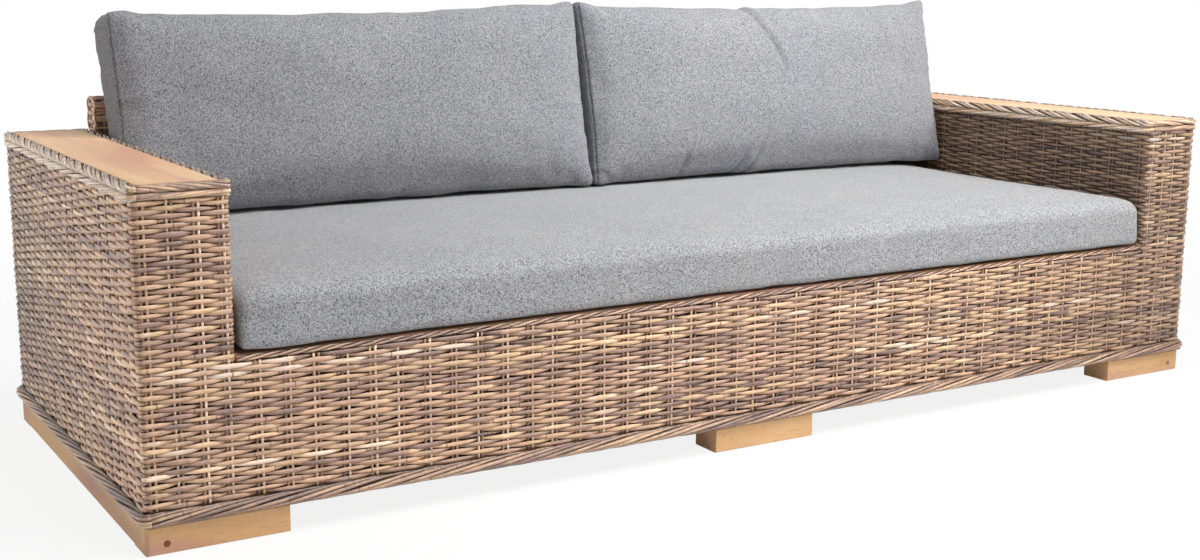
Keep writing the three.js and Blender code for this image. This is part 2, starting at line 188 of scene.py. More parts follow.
caneGrain = {
    "tones": [(0.0, srgb(118, 94, 84)), (0.2, srgb(152, 124, 110)), (0.42, srgb(182, 150, 126)),
              (0.62, srgb(202, 170, 138)), (0.82, srgb(222, 192, 152)), (1.0, srgb(232, 216, 198))],
    "blotchScale": 24.0, "blotchShift": 0.15, "darkest": 0.46, "lightest": 1.53,
    "fibresAlong": 26.0, "fibresAcross": 900.0, "fibresDeep": 60.0, "fibreSpan": 0.5,
    # the grime colour: partly real dirt, partly painted shade in the dips, hollows and flanks
    "fleckScale": 420.0, "fleck": srgb(236, 214, 184), "grimeShadeScale": 140.0, "grimeShade": srgb(62, 47, 40),
    "ringWide": 0.010, "ringShare": 0.65, "ringHeight": -1.5, "ring": srgb(70, 48, 36),
}


def makeCaneSkin():
    # colour and relief of one cane: its own tone, long fibres, growth rings, flecks, and grime with painted
    # shade in the dips
    c = caneGrain
    group, n, given, sink = newGroup("caneSkin", {
        "Tone": 0.5, "Light": 0.5, "Run": 0.0, "Dip": 0.0, "Fibre Strength": 0.35, "GrimeShade": 0.6,
        "Ring Spacing": 0.21, "Fleck Share": 0.4, "Smoothest": 0.34, "Roughest": 0.56,
    }, ("Color", "Roughness", "Height"))
    coords = n.coords()
    blotch = n.mapRange(n.noise(coords, c["blotchScale"], 3.0, 0.6), 0.3, 0.7,
                        -c["blotchShift"], c["blotchShift"])
    base = n.ramp(n.math("ADD", given["Tone"], blotch, clamp=True), c["tones"])
    # fibres: noise that is long along the run and short across it
    parts = n.add("ShaderNodeSeparateXYZ", {"Vector": coords}).outputs
    fibre = n.noise(n.add("ShaderNodeCombineXYZ", {
        "X": n.times(given["Run"], c["fibresAlong"]), "Y": n.times(parts["Z"], c["fibresAcross"]),
        "Z": n.times(n.math("ADD", parts["X"], parts["Y"]), c["fibresDeep"])}), 1.0, 4.0, 0.65)
    fibreShade = n.times(n.mapRange(fibre, 0.25, 0.75, -c["fibreSpan"], c["fibreSpan"]),
                         given["Fibre Strength"])
    lit = n.times(n.math("ADD", fibreShade, 1.0),
                  n.mapRange(given["Light"], -0.5, 1.2, c["darkest"], c["lightest"]))
    grey = n.add("ShaderNodeCombineColor", {"Red": lit, "Green": lit, "Blue": lit})
    fleck = n.mapRange(n.noise(coords, c["fleckScale"], 2.0, 0.6), 0.56, 0.68)
    flecked = n.mixColor(n.times(fleck, given["Fleck Share"]), n.mixColor(1.0, base, grey, "MULTIPLY"),
                         c["fleck"])
    # growth rings: a thin dark line now and then along the cane
    place = n.math("FRACT", n.math("DIVIDE", given["Run"], given["Ring Spacing"]))
    ring = n.math("LESS_THAN", place, c["ringWide"])
    ringed = n.mixColor(n.times(ring, c["ringShare"]), flecked, c["ring"])
    # grime and painted shade: darker where a point lies in a dip, hollow or flank
    grimeShade = n.math("MULTIPLY", n.times(given["Dip"], given["GrimeShade"]),
                   n.mapRange(n.noise(coords, c["grimeShadeScale"]), 0.3, 0.7, 0.55, 1.25), clamp=True)
    n.fill(sink, {"Color": n.mixColor(grimeShade, ringed, c["grimeShade"]),
                  "Roughness": n.mapRange(fibre, 0.3, 0.7, given["Smoothest"], given["Roughest"]),
                  "Height": n.math("ADD", fibre, n.times(ring, c["ringHeight"]))})
    return group


def makeWoodGrain(warpScale=3.0, warpReach=0.35):
    # grain that runs along one axis, with broad bands, fine pores and a few clouded spots
    group, n, given, sink = newGroup(
        "woodGrain", {"Vector": None, "Band Scale": 9.0, "Pore Scale": 260.0, "Seed": 0.0},
        ("Bands", "Pores", "Clouds"))
    vector = n.vectorMath("ADD", {0: given["Vector"], 1: given["Seed"]})
    warp = n.add("ShaderNodeTexNoise", {"Vector": vector, "Scale": warpScale, "Detail": 2.0}).outputs
    offset = n.vectorMath("SUBTRACT", {0: warp["Color"], 1: (0.5, 0.5, 0.5)})
    moved = n.vectorMath("ADD", {0: vector, 1: n.vectorMath("SCALE", {0: offset, "Scale": warpReach})})
    n.fill(sink, {"Bands": n.noise(moved, given["Band Scale"], 3.0, 0.55),
                  "Pores": n.noise(vector, given["Pore Scale"]), "Clouds": n.mapRange(warp[0], 0.5, 0.68)})
    return group


def makeClothWeave(threadLong=0.3, cloudScale=6.0):
    # heathered cloth: two thread directions of light and dark yarn, with specks
    group, n, given, sink = newGroup("clothWeave", {"Speck Scale": 600.0, "Thread Scale": 420.0},
                                     ("Mottle", "Height", "Cloud"))
    coords = n.coords()
    speck = n.noise(coords, given["Speck Scale"], 2.0, 0.7)
    level, upright = (n.noise(n.stretched(coords, scale), given["Thread Scale"], 1.0)
                      for scale in ((threadLong, 1.0, 1.0), (1.0, threadLong, threadLong)))
    threads = n.math("MAXIMUM", level, upright)
    n.fill(sink, {"Mottle": n.math("ADD", n.times(speck, 0.5), n.times(threads, 0.5)),
                  "Height": n.math("ADD", threads, speck),
                  "Cloud": n.mapRange(n.noise(coords, cloudScale), 0.35, 0.65)})
    return group


caneSkin, woodGrain, clothWeave = makeCaneSkin(), makeWoodGrain(), makeClothWeave()


def caneMaterial(name, values):
    material, n, shader = newMaterial(name)
    given = {label: n.read("cane" + label) for label in ("Tone", "Light", "Run", "Dip")}
    skin = n.add("ShaderNodeGroup", {**given, **values["skin"]}, node_tree=caneSkin).outputs
    n.fill(shader, {"Base Color": n.mixColor(values["tintShare"], skin["Color"], values["tint"], "MULTIPLY"),
                    "Roughness": skin["Roughness"], "Normal": bump(n, skin["Height"], values["relief"], 0.5),
                    "Specular IOR Level": values["shine"]})
    return material


def shadeLiningMaterial(values):
    # a near-black sheet: painted shade of the hollow body behind the canes
    material, n, shader = newMaterial("paintedShadeLining")
    n.fill(shader, {"Base Color": n.ramp(n.noise(n.coords(), values["scale"], 3.0), values["shades"]),
                    "Roughness": values["rough"]})
    return material


def woodMaterial(name, values):
    material, n, shader = newMaterial(name)
    grain = n.add("ShaderNodeGroup", {
        "Vector": n.stretched(n.coords(), values["stretch"]), "Band Scale": values["bandScale"],
        "Pore Scale": values["poreScale"], "Seed": values["seed"]}, node_tree=woodGrain).outputs
    pored = n.mixColor(n.mapRange(grain["Pores"], 0.55, 0.72, 0.0, values["poreShare"]),
                       n.ramp(grain["Bands"], values["bands"]), values["poreColor"])
    blushed = n.mixColor(n.times(grain["Clouds"], values["blushShare"]), pored, values["blush"])
    n.fill(shader, {"Base Color": blushed,
                    "Roughness": n.mapRange(grain["Bands"], 0.3, 0.7, *values["rough"]),
                    "Normal": bump(n, grain["Pores"], values["relief"], 0.25),
                    "Specular IOR Level": values["shine"]})
    return material


def clothMaterial(name, values):
    material, n, shader = newMaterial(name)
    weave = n.add("ShaderNodeGroup", {"Speck Scale": values["speckScale"],
                                      "Thread Scale": values["threadScale"]}, node_tree=clothWeave).outputs
    clouded = n.mixColor(n.times(weave["Cloud"], values["cloudShare"]),
                         n.ramp(weave["Mottle"], values["yarns"]), values["cloudTint"], "MULTIPLY")
    # painted shade in creases, seam grooves and along the lower front
    fold = n.times(n.read("foldDipShade"), values["foldShadeShare"])
    n.fill(shader, {"Base Color": n.mixColor(fold, clouded, values["foldShadeTint"], "MULTIPLY"),
                    "Roughness": n.mapRange(weave["Mottle"], 0.35, 0.65, *values["rough"]),
                    "Normal": bump(n, weave["Height"], values["relief"], 0.5),
                    "Sheen Weight": values["sheen"], "Sheen Roughness": 0.5,
                    "Specular IOR Level": values["shine"]})
    return material


weaveLook = {
    "skin": {"Fibre Strength": 0.8, "GrimeShade": 0.85, "Ring Spacing": 0.27, "Fleck Share": 0.35,
             "Smoothest": 0.28, "Roughest": 0.46},
    "tint": srgb(255, 243, 238), "tintShare": 0.8, "relief": 0.0006, "shine": 0.7,
}
stakeLook = {
    "skin": {"Fibre Strength": 0.5, "GrimeShade": 0.85, "Ring Spacing": 0.31, "Fleck Share": 0.3},
    "tint": srgb(255, 244, 238), "tintShare": 0.8, "relief": 0.0004, "shine": 0.5,
}
braidLook = {
    "skin": {"Fibre Strength": 0.9, "GrimeShade": 0.9, "Ring Spacing": 0.19, "Fleck Share": 0.3,
             "Smoothest": 0.28, "Roughest": 0.46},
    "tint": srgb(250, 240, 236), "tintShare": 0.7, "relief": 0.0006, "shine": 0.8,
}
# near black: painted shade of the hollow body behind the canes
shadeLiningLook = {"shades": [(0.3, srgb(24, 17, 13)), (0.7, srgb(42, 30, 23))], "scale": 60.0, "rough": 0.95}
boardLook = {
    "stretch": (5.0, 0.7, 5.0), "bandScale": 3.2, "poreScale": 60.0, "seed": 3.0, "poreShare": 0.45,
    "poreColor": srgb(174, 132, 98), "blush": srgb(192, 144, 123), "blushShare": 0.85,
    "rough": (0.5, 0.62), "relief": 0.0004, "shine": 0.35,
    "bands": [(0.25, srgb(196, 157, 122)), (0.5, srgb(208, 170, 134)), (0.75, srgb(218, 184, 148))],
}
footLook = dict(boardLook, stretch=(0.8, 5.0, 5.0), seed=7.0, poreShare=0.4,
                bands=[(0.25, srgb(196, 150, 101)), (0.5, srgb(214, 171, 123)), (0.75, srgb(224, 186, 136))])
runnerLook = dict(footLook, stretch=(5.0, 0.8, 5.0), seed=11.0)
timberLook = dict(boardLook, stretch=(1.0, 5.0, 5.0), seed=5.0, rough=(0.65, 0.8),
                  bands=[(0.25, srgb(128, 94, 62)), (0.5, srgb(152, 116, 80)), (0.75, srgb(168, 132, 94))])
plugLook = dict(boardLook, stretch=(8.0, 8.0, 8.0), seed=9.0, rough=(0.7, 0.85),
                bands=[(0.25, srgb(92, 56, 34)), (0.5, srgb(112, 70, 42)), (0.75, srgb(128, 84, 52))])
seatLook = {
    "speckScale": 960.0, "threadScale": 820.0, "cloudTint": srgb(242, 243, 250), "cloudShare": 0.5,
    # a blue-grey tint for the painted shade in creases and seams
    "foldShadeTint": srgb(150, 148, 172), "foldShadeShare": 0.8, "rough": (0.98, 0.86), "relief": 0.0012,
    "sheen": 0.2, "shine": 0.15,
    "yarns": [(0.43, srgb(63, 64, 67)), (0.5, srgb(128, 129, 131)), (0.57, srgb(187, 187, 188))],
}
# the back cushions take the seat's cloth with darker yarns: painted shade
backShadedLook = dict(seatLook, yarns=[(0.43, srgb(52, 53, 57)), (0.5, srgb(110, 111, 114)),
                                 (0.57, srgb(161, 161, 164))])

weaveMaterial = caneMaterial("wovenRattan", weaveLook)
stakeMaterial = caneMaterial("rattanStakes", stakeLook)
braidMaterial = caneMaterial("braidedRattan", braidLook)
shadeLining = shadeLiningMaterial(shadeLiningLook)
boardMaterial = woodMaterial("teakBoard", boardLook)
footMaterial = woodMaterial("teakFoot", footLook)
runnerMaterial = woodMaterial("teakRunner", runnerLook)
timberMaterial = woodMaterial("frameTimber", timberLook)
plugMaterial = woodMaterial("plugFiller", plugLook)
seatMaterial = clothMaterial("seatCloth", seatLook)
backShadedMaterial = clothMaterial("backClothShaded", backShadedLook)
print("materials ready")


upward = (0.0, 0.0, 1.0)
sideways = (1.0, 0.0, 0.0)
plain = (0, 0, 0, 0)  # the marks of a lining or core, which has no cane skin
woven = [weaveMaterial, stakeMaterial, shadeLining]
braided = [braidMaterial, shadeLining]


def lifted(spot, level):
    # points or directions in plan, put at a level
    return np.column_stack([spot, np.broadcast_to(level, len(spot))])


def standing(x, spot):
    # points or directions of a section across X, whose own first axis points forwards
    return np.column_stack([np.broadcast_to(x, len(spot)), -spot[:, 0], spot[:, 1]])


class CaneBatch:
    # collects many canes, each a closed tube with an oval section, into one mesh
    def __init__(self):
        self.points, self.faces, self.slots = [], [], []
        self.marks = {"caneTone": [], "caneLight": [], "caneRun": [], "caneDip": []}
        self.count = 0

    def cane(self, centre, out, up, halfOut, halfUp, sides, marks, slot=0, flank=0.0):
        rings = len(centre)
        angle = 2 * np.pi * np.arange(sides) / sides + np.pi / sides
        out, up = (np.broadcast_to(direction, (rings, 3))[:, None, :] for direction in (out, up))
        halfOut, halfUp = (np.broadcast_to(reach, rings)[:, None] for reach in (halfOut, halfUp))
        ring = (centre[:, None, :] + out * (halfOut * np.cos(angle))[:, :, None]
                + up * (halfUp * np.sin(angle))[:, :, None])
        self.points.append(ring.reshape(-1, 3))
        a = np.arange(rings - 1)[:, None] * sides + np.arange(sides)[None, :]
        b = np.arange(rings - 1)[:, None] * sides + (np.arange(sides)[None, :] + 1) % sides
        quads = np.stack([a, b, b + sides, a + sides], axis=2).reshape(-1, 4)
        caps = []  # both ends are closed with quads across the ring
        for first in (0, (rings - 1) * sides):
            for step in range(sides // 2 - 1):
                quad = [first + step, first + step + 1, first + sides - 2 - step, first + sides - 1 - step]
                caps.append(quad if first else quad[::-1])
        self.faces.append(np.concatenate([quads, caps]) + self.count)
        self.slots.append(np.full(len(quads) + len(caps), slot))
        for key, value in zip(self.marks, marks):
            self.marks[key].append(np.repeat(np.broadcast_to(value, rings), sides))
        # grime and painted shade also lie on the flanks, where a cane meets its neighbours
        grimeShade = flank * np.tile(np.abs(np.sin(angle)) ** 4, rings)
        self.marks["caneDip"][-1] = np.clip(self.marks["caneDip"][-1] + grimeShade, 0, 1)
        self.count += rings * sides

    def build(self, name, materials, replaced):
        mesh = bpy.data.meshes.new(name)
        fillMesh(mesh, np.concatenate(self.points), np.concatenate(self.faces))
        mesh.polygons.foreach_set("material_index", np.concatenate(self.slots).astype(np.int32))
        for key, values in self.marks.items():
            addMarks(mesh, key, np.concatenate(values))
        newObject(name, mesh, materials, "frame", [replaced])


def walkAlong(corners, closed, radius):
    # straight runs joined by quarter turns: its length, a function of place, where runs start, and all parts
    spots = [np.array(c, float) for c in corners]
    count = len(spots)
    links = count if closed else count - 1
    quarter = radius * math.pi / 2
    parts = []
    total = 0.0
    for index in range(links):
        a, b = spots[index], spots[(index + 1) % count]
        direction = (b - a) / np.linalg.norm(b - a)
        trimA = radius if closed or index > 0 else 0.0
        trimB = radius if closed or index < links - 1 else 0.0
        length = np.linalg.norm(b - a) - trimA - trimB
        parts.append((total, length, a + direction * trimA, direction, None))
        total += length
        if trimB:
            after = spots[(index + 2) % count] - b
            after /= np.linalg.norm(after)
            parts.append((total, quarter, b - direction * radius + after * radius, direction, after))
            total += quarter

    def at(place):
        spot = np.zeros((len(place), 2))
        out = np.zeros((len(place), 2))
        for start, length, origin, direction, after in parts:
            inside = (place >= start - 1e-6) & (place <= start + length + 1e-6)
            local = (place[inside] - start)[:, None]
            if after is None:
                spot[inside] = origin + direction * local
                out[inside] = (direction[1], -direction[0])
            else:
                normal = -after * np.cos(local / radius) + direction * np.sin(local / radius)
                spot[inside] = origin + normal * radius
                out[inside] = normal
        return spot, out

    return total, at, [part[0] for part in parts if part[4] is None], parts


def boxWalk(centreX, halfX, halfY, radius):
    # a walk round an upright box, from its front left corner
    return walkAlong([(centreX - halfX, -halfY), (centreX + halfX, -halfY), (centreX + halfX, halfY),
                      (centreX - halfX, halfY)], True, radius)


def wallSurface(at):
    # a wall that stands on its walk: place runs along it and level up it
    def surface(place, level, push):
        spot, out = at(place)
        along = np.column_stack([-out[:, 1], out[:, 0]])
        return lifted(spot + out * push[:, None], level), lifted(out, 0.0), lifted(along, 0.0), upward
    return surface


def capSurface(at):
    # a cap that runs along X: level follows its section from the front over the top to the rear
    def surface(place, level, push):
        spot, out = at(level)
        return (standing(place, spot + out * push[:, None]), standing(0.0, out), sideways,
                standing(0.0, np.column_stack([-out[:, 1], out[:, 0]])))
    return surface


weaveWork = {
    "bottom": 0.0705, "top": 0.55775, "rows": 68, "apronRows": 31, "innerRow": 30,
    "depth": 0.009, "cornerRadius": 0.011, "halfLong": 1.2, "halfDeep": 0.449, "innerX": 1.045,
    "innerBack": 0.43975,
    "swing": 0.0034, "duck": 2.6, "caneDeep": 0.0026, "caneTall": 0.0036, "caneBulge": 0.0006,
    "stepsPerStake": 7,
    "waver": 0.0009, "rowWaver": 0.0004, "unevenTall": 0.11, "unevenThick": 0.07, "unevenLift": 0.0007,
    # darker hollows and flanks: grime with painted shade, stronger on the side walls
    "unevenPush": 0.0006, "hollowDark": 0.6, "sideHollowDark": 1.6, "flankGrimeShade": 0.6,
    # the side walls' crests: a painted highlight on them and painted shade beside them
    "crestHighlight": 0.5, "crestHighlightLift": 1.5, "crestShadeDrop": 0.4,
    # by the backrest's ends the rows lie flat and get painted light where the cushions shade them
    "calmReach": 0.045, "calmFade": 0.03, "calmLeast": 0.12, "calmPush": 0.0022, "calmPaintedLight": 0.6,
    "armPairs": (0.016, 0.060, 0.101, 0.140), "apronGaps": 43, "sidePairs": 20, "sideMargin": 0.020,
    "innerPairs": 20, "innerPitch": 0.042, "liningDepth": 0.0050, "liningThick": 0.0006,
}
caneRuns = {
    "length": (0.14, 0.7), "tone": (0.48, 0.24), "light": (0.5, 0.18), "apart": 9.0,
}
stakeWork = {
    "radius": 0.0026, "apart": 0.0041, "push": 0.0006, "give": 0.0005, "waver": 0.0006,
    "apartShare": (0.92, 1.2), "deeper": (-0.0010, 0.0004), "roundShare": (0.88, 1.1),
    "tone": 0.65, "toneApart": 0.3, "light": 0.5, "lightApart": 0.4, "grimeShade": 0.05,
}
# painted light and shade: how much lighter or darker the canes get from each piece's start to its end
paintedWeaveShading = {
    "apronWeaveLeft": (0.0, 0.1), "apronWeaveRight": (0.1, -0.6), "rightSideWeave": (-0.6, 0.0),
    "leftSideWeave": (-0.8, 1.2), "rightArmFrontWeave": (-0.6, -0.65), "rightArmInnerWeave": (-1.6, -1.5),
}
rowPitch = (weaveWork["top"] - weaveWork["bottom"]) / weaveWork["rows"]


def rowMarks(seed, row, place):
    # the canes that follow each other in one row: their tone, light and run
    rng = np.random.default_rng(seed * 1000 + row)
    tone, light = np.zeros(len(place)), np.zeros(len(place))
    run = place.copy()
    cut = -1.4 - rng.uniform(0, 0.4)
    while cut < place[-1] + 0.01:
        length = rng.uniform(*caneRuns["length"])
        inside = (place >= cut) & (place < cut + length)
        tone[inside] = np.clip(rng.normal(*caneRuns["tone"]), 0.02, 0.98)
        light[inside] = np.clip(rng.normal(*caneRuns["light"]), 0.05, 0.95)
        run[inside] += rng.uniform(0, caneRuns["apart"])
        cut += length
    return tone, light, run


def weaveRows(batch, surface, stakes, rows, span, sides, seed=1, shift=0.0, firstStake=0,
              base=weaveWork["bottom"], pitch=rowPitch, shade=(0.0, 0.0), calmAt=None):
    # shift and firstStake carry the pattern of the wall next door on without a break; rows lie flat at calmAt
    w = weaveWork
    grid = np.concatenate([np.linspace(a, b, w["stepsPerStake"], endpoint=False)
                           for a, b in zip(stakes[:-1], stakes[1:])] + [stakes[-1:]])
    place = np.concatenate([[span[0]], grid[(grid > span[0]) & (grid < span[1])], [span[1]]])
    count = np.interp(place, stakes, np.arange(len(stakes))) + firstStake
    along = place + shift
    shared = wobble(along, 41, (0.31, 0.53, 0.9), w["waver"])
    knots = np.arange(-40, 220)
    calm = 1
    if calmAt is not None:
        calm = np.clip((np.abs(place - calmAt) - w["calmReach"]) / w["calmFade"], w["calmLeast"], 1)
    for row in rows:
        rng = np.random.default_rng(seed * 3000 + row)
        tall, lift, proud = (np.interp(count, knots, rng.normal(0, 1, len(knots))) for _ in range(3))
        # near 1 for most of the way, and down to -1 where the row ducks behind a pair of stakes
        phase = calm * (1 - 2 * (np.sin(np.pi * (count + row) / 2) ** 2) ** w["duck"])
        crest = np.cos(np.pi * (count + row))
        level = (base + (row + 0.5) * pitch + shared * math.sin(row * 0.21) + lift * w["unevenLift"]
                 + wobble(along, seed * 77 + row, (0.12, 0.21, 0.37), w["rowWaver"]))
        push = w["swing"] * phase + proud * w["unevenPush"] + w["calmPush"] * (1 - calm)
        point, out, _, up = surface(place, level, push)
        thick = 1 + tall * w["unevenTall"] + wobble(along, seed * 55 + row, (0.16, 0.4), w["unevenThick"])
        halfUp = (w["caneTall"] + w["caneBulge"] * crest) * thick * pitch / rowPitch
        beside = out[:, 0] ** 2  # on the side walls the crests get a painted highlight and the hollows painted shade
        # darker where the row ducks behind the stakes: grime and painted shade
        dip = np.clip(-0.25 - w["hollowDark"] * phase, 0, 1) * (1 + w["sideHollowDark"] * beside)
        tone, light, run = rowMarks(seed, row, along)
        crestLightAndShade = w["crestHighlight"] * beside * (crest.clip(0, 1) ** 3 * w["crestHighlightLift"] - w["crestShadeDrop"])
        # painted light and shade: each piece's lighter or darker run, painted light on the flat rows by the
        # backrest's ends, and the side walls' crests
        light += np.interp(place, span, shade) + w["calmPaintedLight"] * (1 - calm) + crestLightAndShade
        batch.cane(point, out, up, w["caneDeep"] * thick, halfUp, sides, (tone, light, run, dip),
                   flank=w["flankGrimeShade"])


def weaveStakes(batch, surface, stakes, chosen, low, high, seed=1, firstStake=0,
                base=weaveWork["bottom"], pitch=rowPitch, shade=(0.0, 0.0)):
    s = stakeWork
    level = np.unique(np.clip(np.arange(low, high + pitch * 0.5, pitch), low, high))
    row = (level - base) / pitch - 0.5
    for index, darker in zip(chosen, np.linspace(*shade, len(chosen))):
        number = index + firstStake
        rng = np.random.default_rng(seed * 500 + number + 100)
        apart = s["apart"] * rng.uniform(*s["apartShare"])
        deeper = rng.uniform(*s["deeper"])
        paler = rng.choice((-1, 1))  # one stake of each pair is peeled and pale, the other brown
        for side in (-1, 1):
            bend = wobble(level, seed * 13 + number * 2 + side, (0.08, 0.17), s["waver"])
            push = s["push"] + deeper - s["give"] * np.cos(np.pi * (number + row))
            point, out, along, _ = surface(stakes[index] + side * apart + bend, level, push)
            tone = np.clip(rng.normal(s["tone"] + s["toneApart"] * side * paler, 0.16), 0.1, 1)
            # darker: the piece's painted light and shade; the stake's grime mark and its flanks add grime
            # with painted shade
            light = rng.normal(s["light"] + s["lightApart"] * side * paler, 0.2) + darker
            batch.cane(point, out, along, s["radius"], s["radius"] * rng.uniform(*s["roundShare"]), 6,
                       (tone, light, level + rng.uniform(0, 5.0), s["grimeShade"]), slot=1,
                       flank=weaveWork["flankGrimeShade"])


def lineSheet(batch, surface, places, low, high, across=False):
    # the sheet behind the canes, near black as painted shade: a thin closed strip that follows the surface
    steady = np.full(len(places), (low + high) / 2)
    push = np.full(len(places), -weaveWork["liningDepth"])
    point, out, along, up = surface(*((steady, places) if across else (places, steady)), push)
    batch.cane(point, out, along if across else up, weaveWork["liningThick"] * math.sqrt(2),
               (high - low) / 2 * math.sqrt(2), 4, plain, slot=2)


def turnPlaces(span, parts, steps=3):
    # the ends of a span, and what it needs between them to follow each turn
    inner = [span[0], span[1]]
    for start, length, _, _, after in parts:
        share = np.linspace(0, 1, steps + 2) if after is not None else np.array([0, 1])
        inner.extend(p for p in start + share * length if span[0] < p < span[1])
    return np.unique(np.round(inner, 7))


half = weaveWork["depth"] / 2
turn = weaveWork["cornerRadius"] - half
midX, midY = weaveWork["halfLong"] - half, weaveWork["halfDeep"] - half
innerX, innerBack = weaveWork["innerX"] + half, weaveWork["innerBack"]
lead = turn + half

# the lower rows go right round the body, counted from the front left corner
aroundLength, walk, _, aroundParts = boxWalk(0.0, midX, midY, turn)
frontLength, sideLength, arcLength = 2 * (midX - turn), 2 * (midY - turn), turn * math.pi / 2
around = wallSurface(lambda place: walk(np.mod(place, aroundLength)))


def wallStakes():
    w = weaveWork
    arms = [p - lead for p in w["armPairs"]]
    mirrored = [frontLength - p for p in reversed(arms)]
    middle = np.linspace(arms[-1], mirrored[0], w["apronGaps"] + 1)[1:-1]
    front = np.concatenate([arms, middle, mirrored])
    side = np.linspace(w["sideMargin"] - lead, sideLength - w["sideMargin"] + lead, w["sidePairs"])
    starts = {"left": -sideLength - arcLength, "front": 0.0, "right": frontLength + arcLength,
              "back": frontLength + sideLength + 2 * arcLength}
    every = np.concatenate([(side if name in ("left", "right") else front) + start
                            for name, start in starts.items()])
    # one more at each end, so that the rows close
    every = np.concatenate([[every[-1] - aroundLength], every, [every[0] + aroundLength]])
    return every, w["sidePairs"] + len(front), starts


allStakes, lastFrontStake, wallStarts = wallStakes()
numbered = np.arange(len(allStakes))


def wallSpan(name):
    # from the middle of the turn before a wall to the middle of the turn after it
    length = frontLength if name in ("front", "back") else sideLength
    return wallStarts[name] - arcLength / 2, wallStarts[name] + length + arcLength / 2


def weavePanel(name, replaced, surface, stakes, chosen, rows, span, parts, sides, shift=0.0, firstStake=0):
    # one piece of wall: its rows, its stakes and the lining behind them
    low, high = (weaveWork["bottom"] + row * rowPitch for row in rows)
    shade = paintedWeaveShading.get(name, (0.0, 0.0))
    batch = CaneBatch()
    weaveRows(batch, surface, stakes, range(*rows), span, sides, shift=shift, firstStake=firstStake,
              shade=shade)
    weaveStakes(batch, surface, stakes, chosen, low, high, firstStake=firstStake, shade=shade)
    lineSheet(batch, surface, turnPlaces(span, parts), low, high)
    batch.build(name, woven, replaced)


def weaveAround(name, replaced, rows, span, sides=8):
    chosen = numbered[(allStakes >= span[0]) & (allStakes < span[1])]
    parts = [(start + lap, *rest) for lap in (-aroundLength, 0.0) for start, *rest in aroundParts]
    weavePanel(name, replaced, around, allStakes, chosen, rows, span, parts, sides)


lowRows = (0, weaveWork["apronRows"])
allRows = (0, weaveWork["rows"])
frontSpan = wallSpan("front")
weaveAround("apronWeaveLeft", "front_weave", lowRows, (frontSpan[0], frontLength / 2))
weaveAround("apronWeaveRight", "front_weave", lowRows, (frontLength / 2, frontSpan[1]))
weaveAround("leftSideWeave", "left_side_weave", allRows, wallSpan("left"))
weaveAround("rightSideWeave", "right_side_weave", allRows, wallSpan("right"))
backCuts = np.linspace(*wallSpan("back"), 4)
for number, part in enumerate(("Right", "Middle", "Left")):
    weaveAround("backWeave" + part, "back_weave", allRows, (backCuts[number], backCuts[number + 1]), 6)
print("outer walls woven")


def weaveArm(label, sign):
    # above the seat the rows turn from the arm front round its inner corner and run back inside
    w = weaveWork
    corners = [(sign * midX, 0.0), (sign * midX, -midY), (sign * innerX, -midY), (sign * innerX, innerBack)]
    length, at, starts, parts = walkAlong(corners[::-sign], False, turn)
    innerSteps = w["sideMargin"] - lead + w["innerPitch"] * np.arange(w["innerPairs"])
    pairs = len(w["armPairs"])
    frontSpan = (starts[1] - arcLength / 2, starts[2] - arcLength / 2)
    # the front's own stakes, with one round the outer corner, then those of the inner wall
    if sign < 0:
        shift = -starts[1]
        known = w["sidePairs"] + np.arange(pairs + 1)
        inner = starts[2] + innerSteps
        stakes = np.concatenate([allStakes[known] - shift, inner, [length + w["innerPitch"]]])
        firstStake, firstFront, firstInner = known[0], 1, 1 + pairs
        innerSpan = (frontSpan[1], length)
    else:
        shift = innerX + midX - starts[1]
        known = lastFrontStake + 1 - pairs + np.arange(pairs + 1)
        inner = starts[1] - arcLength - innerSteps[::-1]
        stakes = np.concatenate([[-w["innerPitch"]], inner, allStakes[known] - shift])
        firstStake, firstFront, firstInner = known[0] - len(inner) - 1, 1 + len(inner), 1
        innerSpan = (0.0, frontSpan[0])
    for kind, first, count, span, lowest in (("Front", firstFront, pairs, frontSpan, w["apronRows"]),
                                             ("Inner", firstInner, len(inner), innerSpan, w["innerRow"])):
        weavePanel(f"{label}Arm{kind}Weave", f"{label}_arm_{kind.lower()}_weave", wallSurface(at), stakes,
                   range(first, first + count), (lowest, w["rows"]), span, parts, 8, shift, firstStake)


weaveArm("left", -1)
weaveArm("right", 1)
print("arms woven")

backrestWork = {
    "halfLong": 1.04075, "front": 0.3905, "rear": 0.449, "top": 0.648, "round": 0.022,
    "frontFoot": 0.3045, "rearFoot": 0.5595, "gaps": 44, "margin": 0.016, "endGap": 0.0055, "beyond": 0.02,
}
backrestEndWork = {
    "depth": 0.005, "pitch": 0.0082, "stakes": (0.014, 0.044), "stakeRadius": 0.0022, "steps": 19, "seed": 8,
    "topGap": 0.004, "stakeTopGap": 0.006, "sideGap": 0.0035, "swing": 0.0018,
    "caneDeep": 0.0022, "caneTall": 0.0043, "caneBulge": 0.0004, "paler": 0.15,
    "liningInset": 0.003, "liningTopGap": 0.008, "liningThick": 0.0008,
    "archInset": 0.003, "archRadius": 0.0022, "archFlat": 0.85, "archTwist": 0.075, "archPush": 0.0012,
    "archWide": 0.0016, "archDeep": 0.0022, "archSteps": 90,
}


